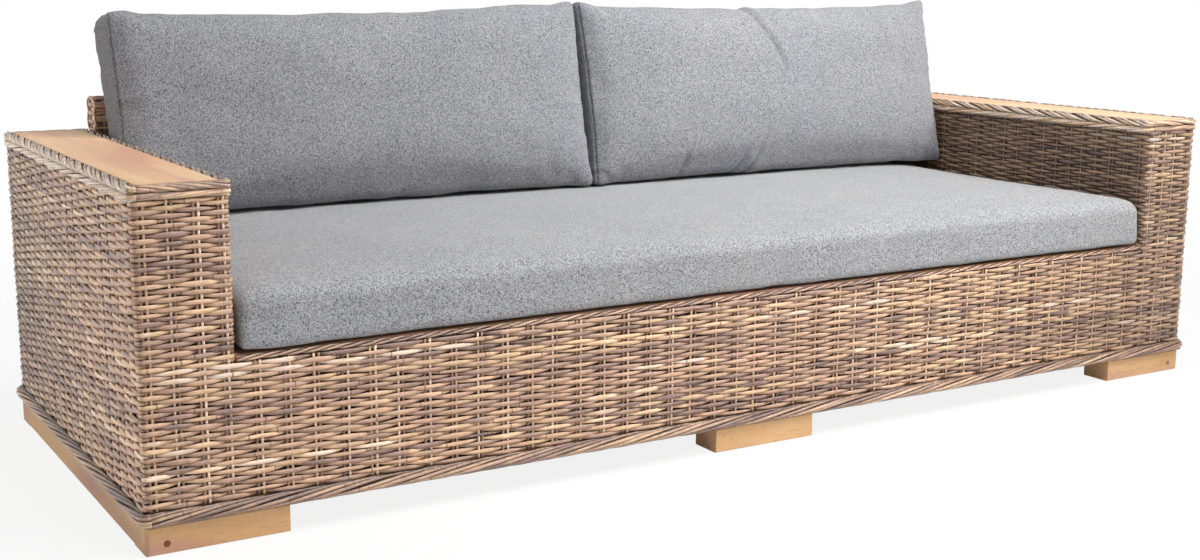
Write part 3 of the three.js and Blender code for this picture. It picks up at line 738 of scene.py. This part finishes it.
def weaveBackrest():
    b = backrestWork
    top, front, rear = b["top"] - half, b["front"] + half, b["rear"] - half
    corners = [(-front, b["frontFoot"]), (-front, top), (-rear, top), (-rear, b["rearFoot"])]
    length, at, _, parts = walkAlong(corners, False, b["round"] - half)
    surface = capSurface(at)
    rows = round(length / rowPitch)
    pitch = length / rows
    reach = b["halfLong"] - b["margin"]
    edge = b["halfLong"] - b["endGap"]
    stakes = np.concatenate([[-edge - b["beyond"]], np.linspace(-reach, reach, b["gaps"] + 1),
                             [edge + b["beyond"]]])
    for name, span, end in (("backrestWeaveLeft", (-edge, 0.0), -edge),
                            ("backrestWeaveRight", (0.0, edge), edge)):
        batch = CaneBatch()
        weaveRows(batch, surface, stakes, range(rows), span, 6, seed=5, base=0.0, pitch=pitch, calmAt=end)
        chosen = [i for i in range(len(stakes)) if span[0] <= stakes[i] < span[1]]
        weaveStakes(batch, surface, stakes, chosen, 0.0, length, seed=5, base=0.0, pitch=pitch)
        lineSheet(batch, surface, turnPlaces((0.0, length), parts, 4), *span, across=True)
        batch.build(name, woven, "backrest_weave")


def archInset(level):
    # how far the arch has drawn in from its sides at a level
    b = backrestWork
    above = np.clip(level - (b["top"] - b["round"]), 0, None)
    return b["round"] - np.sqrt(np.clip(b["round"] ** 2 - above ** 2, 0, None))


def weaveBackrestEnd(label, sign):
    # short rows across the end wall, with a bound edge that follows its arch
    b, e = backrestWork, backrestEndWork
    batch = CaneBatch()
    wallX = sign * (b["halfLong"] - e["depth"])
    low, deep = b["rearFoot"], b["rear"] - b["front"]
    rows = int((b["top"] - low) / e["pitch"])
    pitch = (b["top"] - e["topGap"] - low) / rows
    stakes = np.array([-0.012, *e["stakes"], deep + 0.012])
    outward, backward = (float(sign), 0.0, 0.0), (0.0, 1.0, 0.0)

    def points(x, y, z):
        return np.column_stack(np.broadcast_arrays(x, y, z))

    for row in range(rows):
        level = low + (row + 0.5) * pitch
        inset = archInset(level) + e["sideGap"]
        place = np.linspace(inset, deep - inset, e["steps"])
        phase = np.cos(np.pi * (np.interp(place, stakes, np.arange(len(stakes))) + row))
        tone, light, run = rowMarks(e["seed"], row + (60 if sign > 0 else 0), place)
        # the last mark darkens a row where it runs behind the stakes: grime and painted shade
        batch.cane(points(wallX + sign * e["swing"] * phase, b["front"] + place, level), outward, upward,
                   e["caneDeep"], e["caneTall"] + e["caneBulge"] * phase, 8,
                   (np.clip(tone + e["paler"], 0, 1), light, run, np.clip(0.4 - 0.7 * phase, 0, 1)))
    for number, place in enumerate(e["stakes"]):
        level = np.arange(low, b["top"] - e["stakeTopGap"], pitch)
        # the last mark of each stake is grime with painted shade
        batch.cane(points(wallX, b["front"] + place, level), outward, backward, e["stakeRadius"],
                   e["stakeRadius"], 6, (0.6, 0.6, level + number, 0.2), slot=1)
    # the near-black sheet of painted shade follows the arch a little inside it
    level = low + (b["top"] - e["liningTopGap"] - low) * np.linspace(0, 1, 13)
    inset = archInset(level) + e["liningInset"]
    point = points(wallX - sign * e["liningInset"], (b["front"] + b["rear"]) / 2, level)
    batch.cane(point, outward, backward, e["liningThick"], (deep / 2 - inset) * math.sqrt(2), 4, plain,
               slot=2)
    # the arch: two thin canes twisted round each other
    front, rear = -(b["front"] + e["archInset"]), -(b["rear"] - e["archInset"])
    top, radius = b["top"] - e["archInset"], b["round"] - e["archInset"]
    length, at, _, _ = walkAlong([(front, low), (front, top), (rear, top), (rear, low)], False, radius)
    place = np.linspace(0, length, e["archSteps"])
    spot, normal = at(place)
    for strand in (0, 1):
        angle = 2 * np.pi * place / e["archTwist"] + strand * np.pi
        x = wallX + sign * (e["archPush"] + e["archDeep"] * np.sin(angle))
        point = standing(x, spot + normal * (e["archWide"] * np.cos(angle))[:, None])
        # the last mark darkens a strand where it turns inwards: grime and painted shade
        batch.cane(point, standing(0.0, normal), outward, e["archRadius"], e["archRadius"] * e["archFlat"], 8,
                   (0.62 + 0.1 * strand, 0.6, place + strand, np.clip(0.2 - 0.4 * np.sin(angle), 0, 1)))
    batch.build("backrestEnd" + label, woven, "backrest_weave")


weaveBackrest()
weaveBackrestEnd("Left", -1)
weaveBackrestEnd("Right", 1)
print("backrest woven")


def ropeStrands(batch, at, length, places, rope, seed):
    # strands that wind round an oval while they follow a walk, and the core inside them, near black as
    # painted shade
    spot, out = at(places)
    for strand, phase in enumerate(rope["phases"]):
        angle = (2 * np.pi * rope["turns"] * places / length + phase
                 + wobble(places, seed + strand, (0.35, 0.8), 0.2))
        tone, light, run = rowMarks(seed + 30, strand, places)
        thick = rope["radius"] * (1 + wobble(places, seed * 7 + strand, (0.2, 0.5), 0.10))
        # darker at the rope's top, bottom and inner side, where it meets its neighbours: grime and painted
        # shade
        dip = np.clip(0.25 + 0.75 * np.abs(np.sin(angle)) ** 3 - 0.2 * np.cos(angle), 0, 1) * rope["grimeShade"]
        light = light * 0.7 + rope["lightShift"] + rope["strandContrast"] * (strand % 2 - 0.5)
        point = lifted(spot + out * (rope["halfOut"] * np.cos(angle))[:, None],
                       rope["level"] + rope["halfUp"] * np.sin(angle))
        batch.cane(point, lifted(out, 0.0), upward, thick, thick, 8,
                   (np.clip(tone * 0.8 + rope["toneShift"], 0, 1), light, run, dip), flank=rope["flank"])
    lessOut, lessUp = rope["coreLess"]
    batch.cane(lifted(spot, rope["level"]), lifted(out, 0.0), upward, rope["halfOut"] - lessOut,
               rope["halfUp"] - lessUp, 8, plain, slot=1)


def loopPlaces(length, parts, step, turnSteps):
    inner = [0.0, length]
    for start, run, _, _, after in parts:
        count = turnSteps if after is not None else max(2, round(run / step))
        inner.extend(np.linspace(start, start + run, count + 1))
    return np.unique(np.round(np.clip(inner, 0, length), 7))


armBraidWork = {
    "halfWide": 0.0775, "inset": 0.00425, "radius": 0.0065, "halfOut": 0.0066, "halfUp": 0.0042,
    "step": 0.007, "turnSteps": 6,
    "upper": {"level": 0.5756, "lay": 0.165, "groups": 3, "pairSpread": 0.42, "radius": 0.0028},
    "lower": {"level": 0.5642, "lay": 0.31, "groups": 5, "pairSpread": 0.27, "radius": 0.0025},
    # on the arm's sides the strands get a painted highlight, paler and with more contrast between them, and
    # painted shade in their dips
    "sideSwell": 0.45, "sideDrop": 0.0020, "sideHighlight": 0.55, "sideHighlightContrast": 1.0, "sideGrimeShade": 0.6,
    "toneShift": 0.12, "lightShift": 0.25, "strandContrast": 0.25, "grimeShade": 0.35, "flank": 0.8,
    "coreLess": (0.0010, 0.0006),
}


def braidArm(label, sign):
    a = armBraidWork
    centreX = sign * (weaveWork["halfLong"] - a["halfWide"])
    halfX, halfY = a["halfWide"] - a["inset"], weaveWork["halfDeep"] - a["inset"]
    length, at, _, parts = boxWalk(centreX, halfX, halfY, a["radius"])
    places = loopPlaces(length, parts, a["step"], a["turnSteps"])
    beside = at(places)[1][:, 0] ** 2  # 1 along the sides of the arm, 0 along its front and rear
    batch = CaneBatch()
    # the two ropes twist opposite ways, so their strands meet like arrows
    for name, twist, drop in (("upper", -1, 0.0), ("lower", 1, a["sideDrop"] * beside)):
        r = a[name]
        rope = {
            "phases": [2 * math.pi * group / r["groups"] + side * r["pairSpread"]
                       for group in range(r["groups"]) for side in (-1, 1)],
            "turns": twist * round(length / r["lay"] * r["groups"]) / r["groups"],
            "radius": r["radius"], "level": r["level"] - drop, "halfOut": a["halfOut"],
            "halfUp": a["halfUp"] * (1 + a["sideSwell"] * beside), "coreLess": a["coreLess"],
            "flank": a["flank"], "grimeShade": a["grimeShade"] + a["sideGrimeShade"] * beside,
            # on the sides: painted shade in the dips and a painted highlight on the strands
            "toneShift": a["toneShift"] + a["sideHighlight"] * beside,
            "lightShift": a["lightShift"] + a["sideHighlight"] * beside,
            "strandContrast": a["strandContrast"] + a["sideHighlightContrast"] * beside,
        }
        ropeStrands(batch, at, length, places, rope, (3 - sign) * 2 + twist)
    batch.build(label + "ArmBraid", braided, label + "_arm_braid")


baseBorderWork = {
    "outset": 0.0015, "cornerRadius": 0.0095, "lay": 0.42, "strands": 8, "radius": 0.0031,
    "halfOut": 0.0074, "halfUp": 0.0088, "level": 0.05825, "step": 0.012, "turnSteps": 7,
    # the strands darken where they meet each other: grime with painted shade
    "grimeShade": 0.6, "flank": 0.7, "toneShift": 0.02, "lightShift": 0.12, "strandContrast": 0.2,
    "coreLess": (0.0008, 0.0008),
}


def twistBaseBorder():
    b = baseBorderWork
    halfX, halfY = weaveWork["halfLong"] + b["outset"], weaveWork["halfDeep"] + b["outset"]
    length, at, _, parts = boxWalk(0.0, halfX, halfY, b["cornerRadius"])
    rope = dict(b, turns=round(length / b["lay"] * b["strands"]) / b["strands"],
                phases=[2 * math.pi * k / b["strands"] for k in range(b["strands"])])
    batch = CaneBatch()
    ropeStrands(batch, at, length, loopPlaces(length, parts, b["step"], b["turnSteps"]), rope, 6)
    batch.build("baseBorderRope", braided, "base_border")


seatEdgeWork = {
    "halfLong": 1.0435, "depthPlace": -0.4432, "level": 0.2979, "lay": 0.094, "strands": 3, "radius": 0.0020,
    "halfOut": 0.0036, "halfUp": 0.0029, "waver": 0.0007, "steps": 420, "toneShift": -0.02,
    "lightShift": 0.06,
}


def twineSeatEdge():
    # thin canes twined along the top of the front rail, behind and below the cushion's lip
    s = seatEdgeWork
    place = np.linspace(-s["halfLong"], s["halfLong"], s["steps"])
    batch = CaneBatch()
    for strand in range(s["strands"]):
        angle = (2 * np.pi * place / s["lay"] + strand * 2 * np.pi / s["strands"]
                 + wobble(place, 90 + strand, (0.2, 0.6), 0.3))
        point = np.column_stack([
            place, s["depthPlace"] - s["halfOut"] * np.cos(angle),
            s["level"] + s["halfUp"] * np.sin(angle) + wobble(place, 70, (0.11, 0.27), s["waver"])])
        tone, light, run = rowMarks(12, strand, place)
        # the last mark darkens a strand where it turns to the rear: grime and painted shade
        marks = (np.clip(tone * 0.7 + s["toneShift"], 0, 1), np.clip(light * 0.7 + s["lightShift"], 0, 1),
                 run, np.clip(0.4 - 0.7 * np.cos(angle), 0, 1))
        batch.cane(point, (0.0, -1.0, 0.0), upward, s["radius"], s["radius"], 8, marks)
    batch.build("seatEdgeTwine", [braidMaterial], "seat_edge_strand")


braidArm("left", -1)
braidArm("right", 1)
twistBaseBorder()
twineSeatEdge()
print("borders braided")

seatCushionWork = {
    "size": (2.074, 0.105, 0.8355), "edge": (0.012, 0.026), "crowns": (0.0, 0.016), "drawIn": (0.006, 0.002),
    "crownPower": 8, "steps": (0.022, 0.02, 0.022), "shrink": 0.004, "cap": 0.008, "flatBelow": -0.0525,
    "seamDeep": 0.0, "fill": 0.85, "unevenness": 0.0022,
    "front": -0.449, "deck": 0.30325, "lowest": 0.3033, "highest": 0.4279,
}
backCushionWork = {
    "size": (1.035, 0.120, 0.412), "edge": (0.016, 0.018), "crowns": (0.032, 0.026), "drawIn": (0.006, 0.007),
    "crownPower": 3.2, "steps": (0.0105, 0.014, 0.0105), "shrink": 0.003, "cap": 0.012, "flatBelow": None,
    # the seam's groove gets painted shade
    "seamDeep": 0.0013, "seamShade": 0.9, "fill": 0.8, "unevenness": 0.0034, "lean": 13.5, "middleGap": 0.003,
    "centre": (0.29043, 0.62081), "rest": 0.4283, "sag": 0.0065, "sagDepth": 0.05, "pressed": 0.006,
}
seamWork = {
    "reach": 0.07, "narrow": 0.0021, "lipHigh": 0.0007, "lipAway": 0.005, "lipWide": 0.003,
    "pucker": 0.0022, "puckerWaves": (0.022, 0.035, 0.06, 0.1), "puckerFade": 0.016,
}
# creases as start, end, depth and width, and lumps as place, reach and height, on the front panels;
# places are (x, height above the lower front edge), in metres
leftCushionFolds = {
    "creases": [((-1.000, 0.396), (-0.972, 0.380), 0.0030, 0.006),
                ((-0.030, 0.020), (-0.012, 0.010), 0.0020, 0.008),
                ((-0.030, 0.380), (-0.052, 0.352), 0.0012, 0.010)],
    "lumps": [((-0.990, 0.400), 0.018, 0.004), ((-1.038, 0.412), 0.022, -0.008),
              ((-0.150, 0.405), 0.110, 0.009), ((-0.012, 0.012), 0.012, 0.002)],
    "droop": 0.009, "rearDrop": 0.022,
}
rightCushionFolds = {
    "creases": [((0.462, 0.384), (0.530, 0.250), 0.0060, 0.012),
                ((0.425, 0.396), (0.470, 0.374), 0.0034, 0.010),
                ((0.412, 0.056), (0.372, 0.004), 0.0055, 0.010),
                ((0.450, 0.060), (0.408, 0.006), 0.0060, 0.010),
                ((0.233, 0.056), (0.226, 0.020), 0.0050, 0.010),
                ((0.004, 0.026), (0.034, 0.012), 0.0045, 0.008),
                ((0.841, 0.372), (0.860, 0.296), 0.0030, 0.014)],
    "lumps": [((0.486, 0.372), 0.016, 0.003), ((0.430, 0.030), 0.014, 0.004),
              ((1.020, 0.396), 0.022, 0.001)],
    "droop": 0.0, "rearDrop": 0.006,
}
foldWork = {
    "front": 0.01, "frontFade": 0.03, "lowerEdge": 0.0035, "bend": 0.006, "endDepth": 0.35,
    "grooveShare": 0.55, "ridgeHigh": 0.55, "ridgeAway": 1.25, "darkestDeep": 0.011,
    "lowShade": 0.4, "lowTall": 0.15, "rearFrom": 0.06, "rearTop": 0.1, "rearReach": 0.05,
}


def cushionLines(length, step):
    # grid lines from -1 to 1 that lie close together near both ends
    near = np.array([0.0, 0.0045, 0.011, 0.019, 0.029, 0.042])
    middle = np.linspace(near[-1], length - near[-1], max(2, round((length - 2 * near[-1]) / step) + 1))
    return np.concatenate([near, middle[1:-1], length - near[::-1]]) * 2 / length - 1


def cushionShell(work):
    # a closed box lattice shaped into a cushion: rounded edges, crowned faces, sides drawn in between corners
    sizes = np.array(work["size"]) - 2 * work["shrink"]
    lines = [cushionLines(length, step) for length, step in zip(sizes, work["steps"])]
    counts = [len(line) for line in lines]
    grid = np.stack(np.meshgrid(*[np.arange(c) for c in counts], indexing="ij"), axis=-1).reshape(-1, 3)
    last = np.array(counts) - 1
    keep = ((grid == 0) | (grid == last)).any(axis=1)
    number = np.full(len(grid), -1)
    number[keep] = np.arange(keep.sum())
    number = number.reshape(counts)
    quads = []
    for axis in range(3):
        for end in (0, last[axis]):
            face = np.take(number, end, axis=axis)
            quad = np.stack([face[:-1, :-1], face[1:, :-1], face[1:, 1:], face[:-1, 1:]], axis=-1)
            quad = quad.reshape(-1, 4)
            flip = (end > 0) == (axis == 1)
            quads.append(quad[:, ::-1] if flip else quad)
    index = grid[keep]
    share = np.stack([lines[axis][index[:, axis]] for axis in range(3)], axis=1)
    halves = sizes / 2
    low, high = work["edge"]
    edge = (low + (high - low) * (share[:, 1] + 1) / 2)[:, None]
    core = np.clip(share * halves, -(halves - edge), halves - edge)
    rounding = share * halves - core
    length = np.linalg.norm(rounding, axis=1, keepdims=True)
    point = core + np.where(length > 0, rounding * edge / np.where(length > 0, length, 1), 0)
    x, y, z = share.T
    power = work["crownPower"]
    crown = np.where(y < 0, *work["crowns"])
    point[:, 1] += crown * y * (1 - np.abs(x) ** power) * (1 - np.abs(z) ** power)
    point[:, 0] -= work["drawIn"][0] * x ** 3 * (1 - z ** 2)
    point[:, 2] -= work["drawIn"][1] * np.maximum(z, 0) ** 3 * (1 - x ** 2)
    return point, np.concatenate(quads), index, last


def readPoints(mesh, key="co"):
    values = np.empty(len(mesh.vertices) * 3)
    mesh.vertices.foreach_get(key, values)
    return values.reshape(-1, 3)


def plump(piece, work):
    # fill it with pressure, and let no point move further than the cap
    start = readPoints(piece.data)
    cloth = piece.modifiers.new("plump", "CLOTH")
    cloth.settings.quality = 5
    cloth.settings.mass = 0.3
    cloth.settings.tension_stiffness = 12
    cloth.settings.compression_stiffness = 12
    cloth.settings.bending_stiffness = 5
    cloth.settings.use_pressure = True
    cloth.settings.uniform_pressure_force = 4
    cloth.settings.effector_weights.gravity = 0
    cloth.point_cache.frame_start = 1
    cloth.point_cache.frame_end = 20
    for step in range(1, 21):
        scene.frame_set(step)
    moved = readPoints(piece.evaluated_get(bpy.context.evaluated_depsgraph_get()).data) - start
    piece.modifiers.remove(cloth)
    scene.frame_set(1)
    far = np.linalg.norm(moved, axis=1, keepdims=True)
    return start + moved * np.minimum(1, work["cap"] / np.maximum(far, 1e-9))


def fitBack(point, work):
    # filling draws the ends in, so length and height are brought back to the cushion's own
    for axis in (0, 2):
        low, high = point[:, axis].min(), point[:, axis].max()
        point[:, axis] = (point[:, axis] - (low + high) / 2) * work["size"][axis] / (high - low)
    return point


def subdivide(piece):
    piece.modifiers.new("finer", "SUBSURF").levels = 1
    finer = bpy.data.meshes.new_from_object(piece.evaluated_get(bpy.context.evaluated_depsgraph_get()))
    coarse = piece.data
    piece.modifiers.clear()
    name = coarse.name
    piece.data = finer
    bpy.data.meshes.remove(coarse)
    finer.name = name
    return finer


def seamRing(point, index, last, end):
    # the lattice edge round one end panel, in order
    around = ([(0, k) for k in range(last[2] + 1)] + [(j, last[2]) for j in range(1, last[1] + 1)]
              + [(last[1], k) for k in reversed(range(last[2]))]
              + [(j, 0) for j in range(last[1] - 1, 0, -1)])
    lookup = {(i, j, k): n for n, (i, j, k) in enumerate(map(tuple, index))}
    return point[[lookup[(end, j, k)] for j, k in around]]


def sewSeam(point, normal, dip, ring, work, seed):
    # a narrow groove along a ring of points, with small puckers beside it; dip takes the painted shade of the
    # groove
    s = seamWork
    link = np.roll(ring, -1, axis=0) - ring
    lengths = np.linalg.norm(link, axis=1)
    start = np.concatenate([[0], np.cumsum(lengths)[:-1]])
    near = np.abs(point[:, 0] - ring[:, 0].mean()) < s["reach"]
    offset = point[near][:, None, :] - ring[None, :, :]
    share = np.clip((offset * link[None]).sum(-1) / (lengths ** 2)[None], 0, 1)
    away = np.linalg.norm(offset - share[..., None] * link[None], axis=-1)
    best = away.argmin(axis=1)
    rows = np.arange(len(best))
    away = away[rows, best]
    along = start[best] + share[rows, best] * lengths[best]
    groove = (-work["seamDeep"] * bell(away, s["narrow"])
              + s["lipHigh"] * bell(away - s["lipAway"], s["lipWide"]))
    ripple = (wobble(along, seed, s["puckerWaves"], s["pucker"]) * np.exp(-away / s["puckerFade"])
              * (away > 0.001))
    point[near] += normal[near] * (groove + ripple)[:, None]
    dip[near] = np.maximum(dip[near], work["seamShade"] * bell(away, s["narrow"]))


def foldCushion(point, normal, folds, centreX, sizes):
    # creases, lumps and a drooping end on the front panel; the result is painted shade, deepest in the
    # creases and darker towards the lower front edge
    f = foldWork
    spot = point[:, [0, 2]]
    origin = np.array([-centreX, f["lowerEdge"] - sizes[2] / 2])
    total, dip = np.zeros(len(point)), np.zeros(len(point))
    for start, end, deep, width in folds["creases"]:
        a, b = start + origin, end + origin
        along = np.clip(((spot - a) @ (b - a)) / ((b - a) @ (b - a)), 0, 1)
        away = spot - (a + along[:, None] * (b - a))
        across = np.array([-(b - a)[1], (b - a)[0]])
        side = away @ across / np.linalg.norm(b - a) - f["bend"] * np.sin(np.pi * along)
        beyond = np.maximum(np.linalg.norm(away, axis=1) - np.abs(side), 0)
        middle = f["endDepth"] + (1 - f["endDepth"]) * np.sin(np.pi * np.clip(along, 0.08, 0.92))
        fade = bell(beyond, width) * middle
        groove = bell(side, width * f["grooveShare"])
        dip = np.maximum(dip, groove * fade * deep / f["darkestDeep"])
        ridge = f["ridgeHigh"] * deep * bell(side - width * f["ridgeAway"], width)
        total += (-deep * groove + ridge) * fade
    for place, reach, high in folds["lumps"]:
        total += high * np.exp(-(((spot - (place + origin)) ** 2).sum(1)) / reach ** 2)
    front = np.clip((f["front"] - point[:, 1]) / f["frontFade"], 0, 1)
    # painted shade towards the lower front edge, where the seat shades it
    low = np.clip(1 - (point[:, 2] + sizes[2] / 2) / f["lowTall"], 0, 1)
    dip = np.clip(dip + f["lowShade"] * low ** 1.5, 0, 1) * front
    point += normal * (total * front)[:, None]
    # the whole left end droops, and its rear upper corner most
    share = np.clip(0.5 - point[:, 0] / sizes[0], 0, 1)
    point[:, 2] -= folds["droop"] * share * np.clip(point[:, 2] / sizes[2] + 0.5, 0, 1)
    behind = np.clip(point[:, 1] / f["rearFrom"], 0, 1) * np.clip(point[:, 2] / f["rearTop"] - 1, 0, 1)
    point[:, 2] -= folds["rearDrop"] * behind * bell(point[:, 0] + sizes[0] / 2, f["rearReach"])
    return dip


def unevenness(point, seed):
    # broad soft waves in patches, and smaller ones over them
    def patches(slant, seeds, waves):
        return (wobble(point[:, 0] + slant[0] * point[:, 2], seed + seeds[0], waves[0], 1.0)
                * wobble(point[:, 2] + slant[1] * point[:, 0], seed + seeds[1], waves[1], 1.0))
    return (patches((0.7, -0.4), (5, 9), ((0.21, 0.34), (0.16, 0.27)))
            + 0.4 * patches((-0.5, 0.3), (13, 17), ((0.09, 0.14), (0.11, 0.18))))


def makeCushion(name, body, material, work, place, seed, folds=None, centreX=0.0):
    # each cushion stands in for the solid of the body that it rides on
    point, quads, index, last = cushionShell(work)
    mesh = bpy.data.meshes.new(name)
    fillMesh(mesh, point, quads)
    piece = newObject(name, mesh, [material], body, [body])
    point = fitBack(plump(piece, work), work)
    if work["flatBelow"] is not None:
        point[:, 1] = np.maximum(point[:, 1], work["flatBelow"])
    mesh.vertices.foreach_set("co", point.ravel())
    mesh.update()
    rings = [seamRing(point, index, last, end) for end in (0, last[0])] if work["seamDeep"] else []
    mesh = subdivide(piece)
    point, normal = readPoints(mesh), readPoints(mesh, "normal")
    dip = np.zeros(len(point))
    for number, ring in enumerate(rings):
        sewSeam(point, normal, dip, ring, work, seed + number)
    if folds:
        dip = np.maximum(dip, foldCushion(point, normal, folds, centreX, work["size"]))
    addMarks(mesh, "foldDipShade", dip)
    point += normal * (unevenness(point, seed) * work["unevenness"])[:, None]
    mesh.vertices.foreach_set("co", place(point).ravel())
    mesh.polygons.foreach_set("use_smooth", [True] * len(mesh.polygons))
    mesh.update()


def laySeat(point):
    # its thickness points up, and its underside lies on the deck
    work = seatCushionWork
    moved = np.column_stack([point[:, 0], -point[:, 2], point[:, 1]])
    moved += (0.0, work["front"] + work["size"][2] / 2, work["deck"] + work["size"][1] / 2)
    moved[:, 2] = np.clip(moved[:, 2], work["lowest"], work["highest"])
    return moved


def leanBack(point, centreX):
    work = backCushionWork
    lean = math.radians(work["lean"])
    y = point[:, 1] * math.cos(lean) + point[:, 2] * math.sin(lean) + work["centre"][0]
    z = -point[:, 1] * math.sin(lean) + point[:, 2] * math.cos(lean) + work["centre"][1]
    # the front sags onto the seat cushion, and the lower side is pressed flat on it
    low = np.clip(-2 * point[:, 2] / work["size"][2], 0, 1) ** 3
    z -= work["sag"] * low * np.clip(-point[:, 1] / work["sagDepth"], 0, 1)
    rest, pressed = work["rest"], work["pressed"]
    squeezed = pressed * np.exp((np.minimum(z, rest + pressed) - rest - pressed) / pressed)
    z = rest + np.where(z > rest + pressed, z - rest, squeezed)
    return np.column_stack([point[:, 0] + centreX, y, z])


makeCushion("seatCushionSoft", "seat_cushion", seatMaterial, seatCushionWork, laySeat, 21)
for label, sign, folds, seed in (("Left", -1, leftCushionFolds, 31), ("Right", 1, rightCushionFolds, 51)):
    centreX = sign * (backCushionWork["middleGap"] + backCushionWork["size"][0] / 2)
    makeCushion("backCushion" + label, "back_cushion_" + label.lower(), backShadedMaterial,
                backCushionWork, lambda point: leanBack(point, centreX), seed, folds, centreX)
print("cushions filled")

view = {
    "place": (-1.810, -2.794, 0.900), "yaw": 31.41, "pitch": 11.09, "roll": 0.42,
    "focalShare": 1575.7 / 1200, "sensor": 36.0,
}


def makeCamera():
    camera = bpy.data.objects.new("camera", bpy.data.cameras.new("camera"))
    scene.collection.objects.link(camera)
    yaw, down, roll = (math.radians(view[k]) for k in ("yaw", "pitch", "roll"))
    forward = Vector((math.sin(yaw) * math.cos(down), math.cos(yaw) * math.cos(down), -math.sin(down)))
    right = Vector((math.cos(yaw), -math.sin(yaw), 0.0))
    up = right.cross(forward)
    rightRolled = right * math.cos(roll) + up * math.sin(roll)
    upRolled = up * math.cos(roll) - right * math.sin(roll)
    matrix = Matrix((rightRolled, upRolled, -forward)).transposed().to_4x4()
    matrix.translation = Vector(view["place"])
    camera.matrix_world = matrix
    camera.data.lens = view["focalShare"] * view["sensor"]
    camera.data.sensor_width = view["sensor"]
    camera.data.clip_end = 60.0
    scene.camera = camera


white = (1.0, 1.0, 1.0, 1.0)
studio = {
    "floorLevel": -0.0004, "floorReach": 14.0, "floorPaint": (0.86, 0.86, 0.86, 1.0), "floorGlow": 0.86,
    "glowFrom": 1.6, "glowTo": 3.0, "ambient": (0.98, 0.99, 1.0, 1.0), "ambientStrength": 0.21,
    "lamps": {
        "keyLight": {"place": (1.6, -1.3, 1.8), "target": (0.2, 0.4, 0.8), "size": (0.9, 0.9), "power": 12.4,
                     "color": (1.0, 0.99, 0.97), "spread": 80},
        "topLight": {"place": (0.4, -1.4, 3.6), "target": (0.1, 0.0, 0.4), "size": (3.0, 2.0), "power": 142,
                     "color": (1.0, 1.0, 1.0), "spread": 180},
        "frontLight": {"place": (0.6, -4.2, 0.9), "target": (0.3, 0.0, 0.3), "size": (2.6, 1.2), "power": 27,
                       "color": (1.0, 1.0, 1.0), "spread": 180},
        "sideLight": {"place": (-2.9, 1.1, 1.1), "target": (-1.2, 0.0, 0.3), "size": (0.7, 0.7), "power": 9.5,
                      "color": (1.0, 1.0, 1.0), "spread": 140},
    },
}


def addLamps():
    for name, values in studio["lamps"].items():
        lamp = bpy.data.lights.new(name, "AREA")
        lamp.shape = "RECTANGLE"
        lamp.size, lamp.size_y = values["size"]
        lamp.energy = values["power"]
        lamp.spread = math.radians(values["spread"])
        lamp.color = values["color"]
        piece = bpy.data.objects.new(name, lamp)
        scene.collection.objects.link(piece)
        piece.location = values["place"]
        aim = Vector(values["target"]) - Vector(values["place"])
        piece.rotation_euler = aim.to_track_quat("-Z", "Y").to_euler()


def seenDirectly(n):
    path = n.add("ShaderNodeLightPath").outputs
    return n.math("MAXIMUM", path["Is Camera Ray"],
                  n.math("MAXIMUM", path["Is Glossy Ray"], path["Is Transmission Ray"]))


def makeFloor():
    mesh = bpy.data.meshes.new("studioFloor")
    reach = studio["floorReach"]
    mesh.from_pydata([(-reach, -reach, 0), (reach, -reach, 0), (reach, reach, 0), (-reach, reach, 0)], [],
                     [(0, 1, 2, 3)])
    floor = bpy.data.objects.new("studioFloor", mesh)
    floor.location.z = studio["floorLevel"]
    scene.collection.objects.link(floor)
    material = bpy.data.materials.new("studioWhite")
    material.use_nodes = True
    n = Nodes(material.node_tree)
    paint = n.add("ShaderNodeBsdfDiffuse", {"Color": studio["floorPaint"]})
    glow = n.add("ShaderNodeEmission", {"Color": white, "Strength": 1.0})
    # away from the object the floor turns fully white, like a long sweep of paper
    away = n.vectorMath("LENGTH", {0: n.coords()}, "Value")
    share = n.mapRange(away, studio["glowFrom"], studio["glowTo"], studio["floorGlow"], 1.0)
    mix = n.add("ShaderNodeMixShader", {0: n.times(seenDirectly(n), share), 1: paint, 2: glow})
    n.add("ShaderNodeOutputMaterial", {"Surface": mix})
    mesh.materials.append(material)


def makeWorld():
    world = bpy.data.worlds.new("studio")
    scene.world = world
    world.use_nodes = True
    n = Nodes(world.node_tree)
    ambient = n.add("ShaderNodeBackground", {"Color": studio["ambient"],
                                             "Strength": studio["ambientStrength"]})
    backdrop = n.add("ShaderNodeBackground", {"Color": white, "Strength": 1.0})
    mix = n.add("ShaderNodeMixShader", {0: seenDirectly(n), 1: ambient, 2: backdrop})
    n.add("ShaderNodeOutputWorld", {"Surface": mix})


makeCamera()
addLamps()
makeFloor()
makeWorld()
scene.view_settings.view_transform = "Standard"
print("camera, light and floor ready")

slotMaterials = {
    "teak": footMaterial, "frame_timber": timberMaterial, "plug_filler": plugMaterial,
    "rattan_weave": weaveMaterial, "rattan_braid": braidMaterial,
    "seat_fabric": seatMaterial, "back_fabric": backShadedMaterial,
}
for part in frame["record"]["subparts"]:
    node = frame["nodes"][part["node"]]
    material = slotMaterials[part["material_slot"]]
    if "arm_board" in part["node"]:
        material = boardMaterial
    if "runner" in part["node"]:
        material = runnerMaterial
    node.data.materials.clear()
    node.data.materials.append(material)
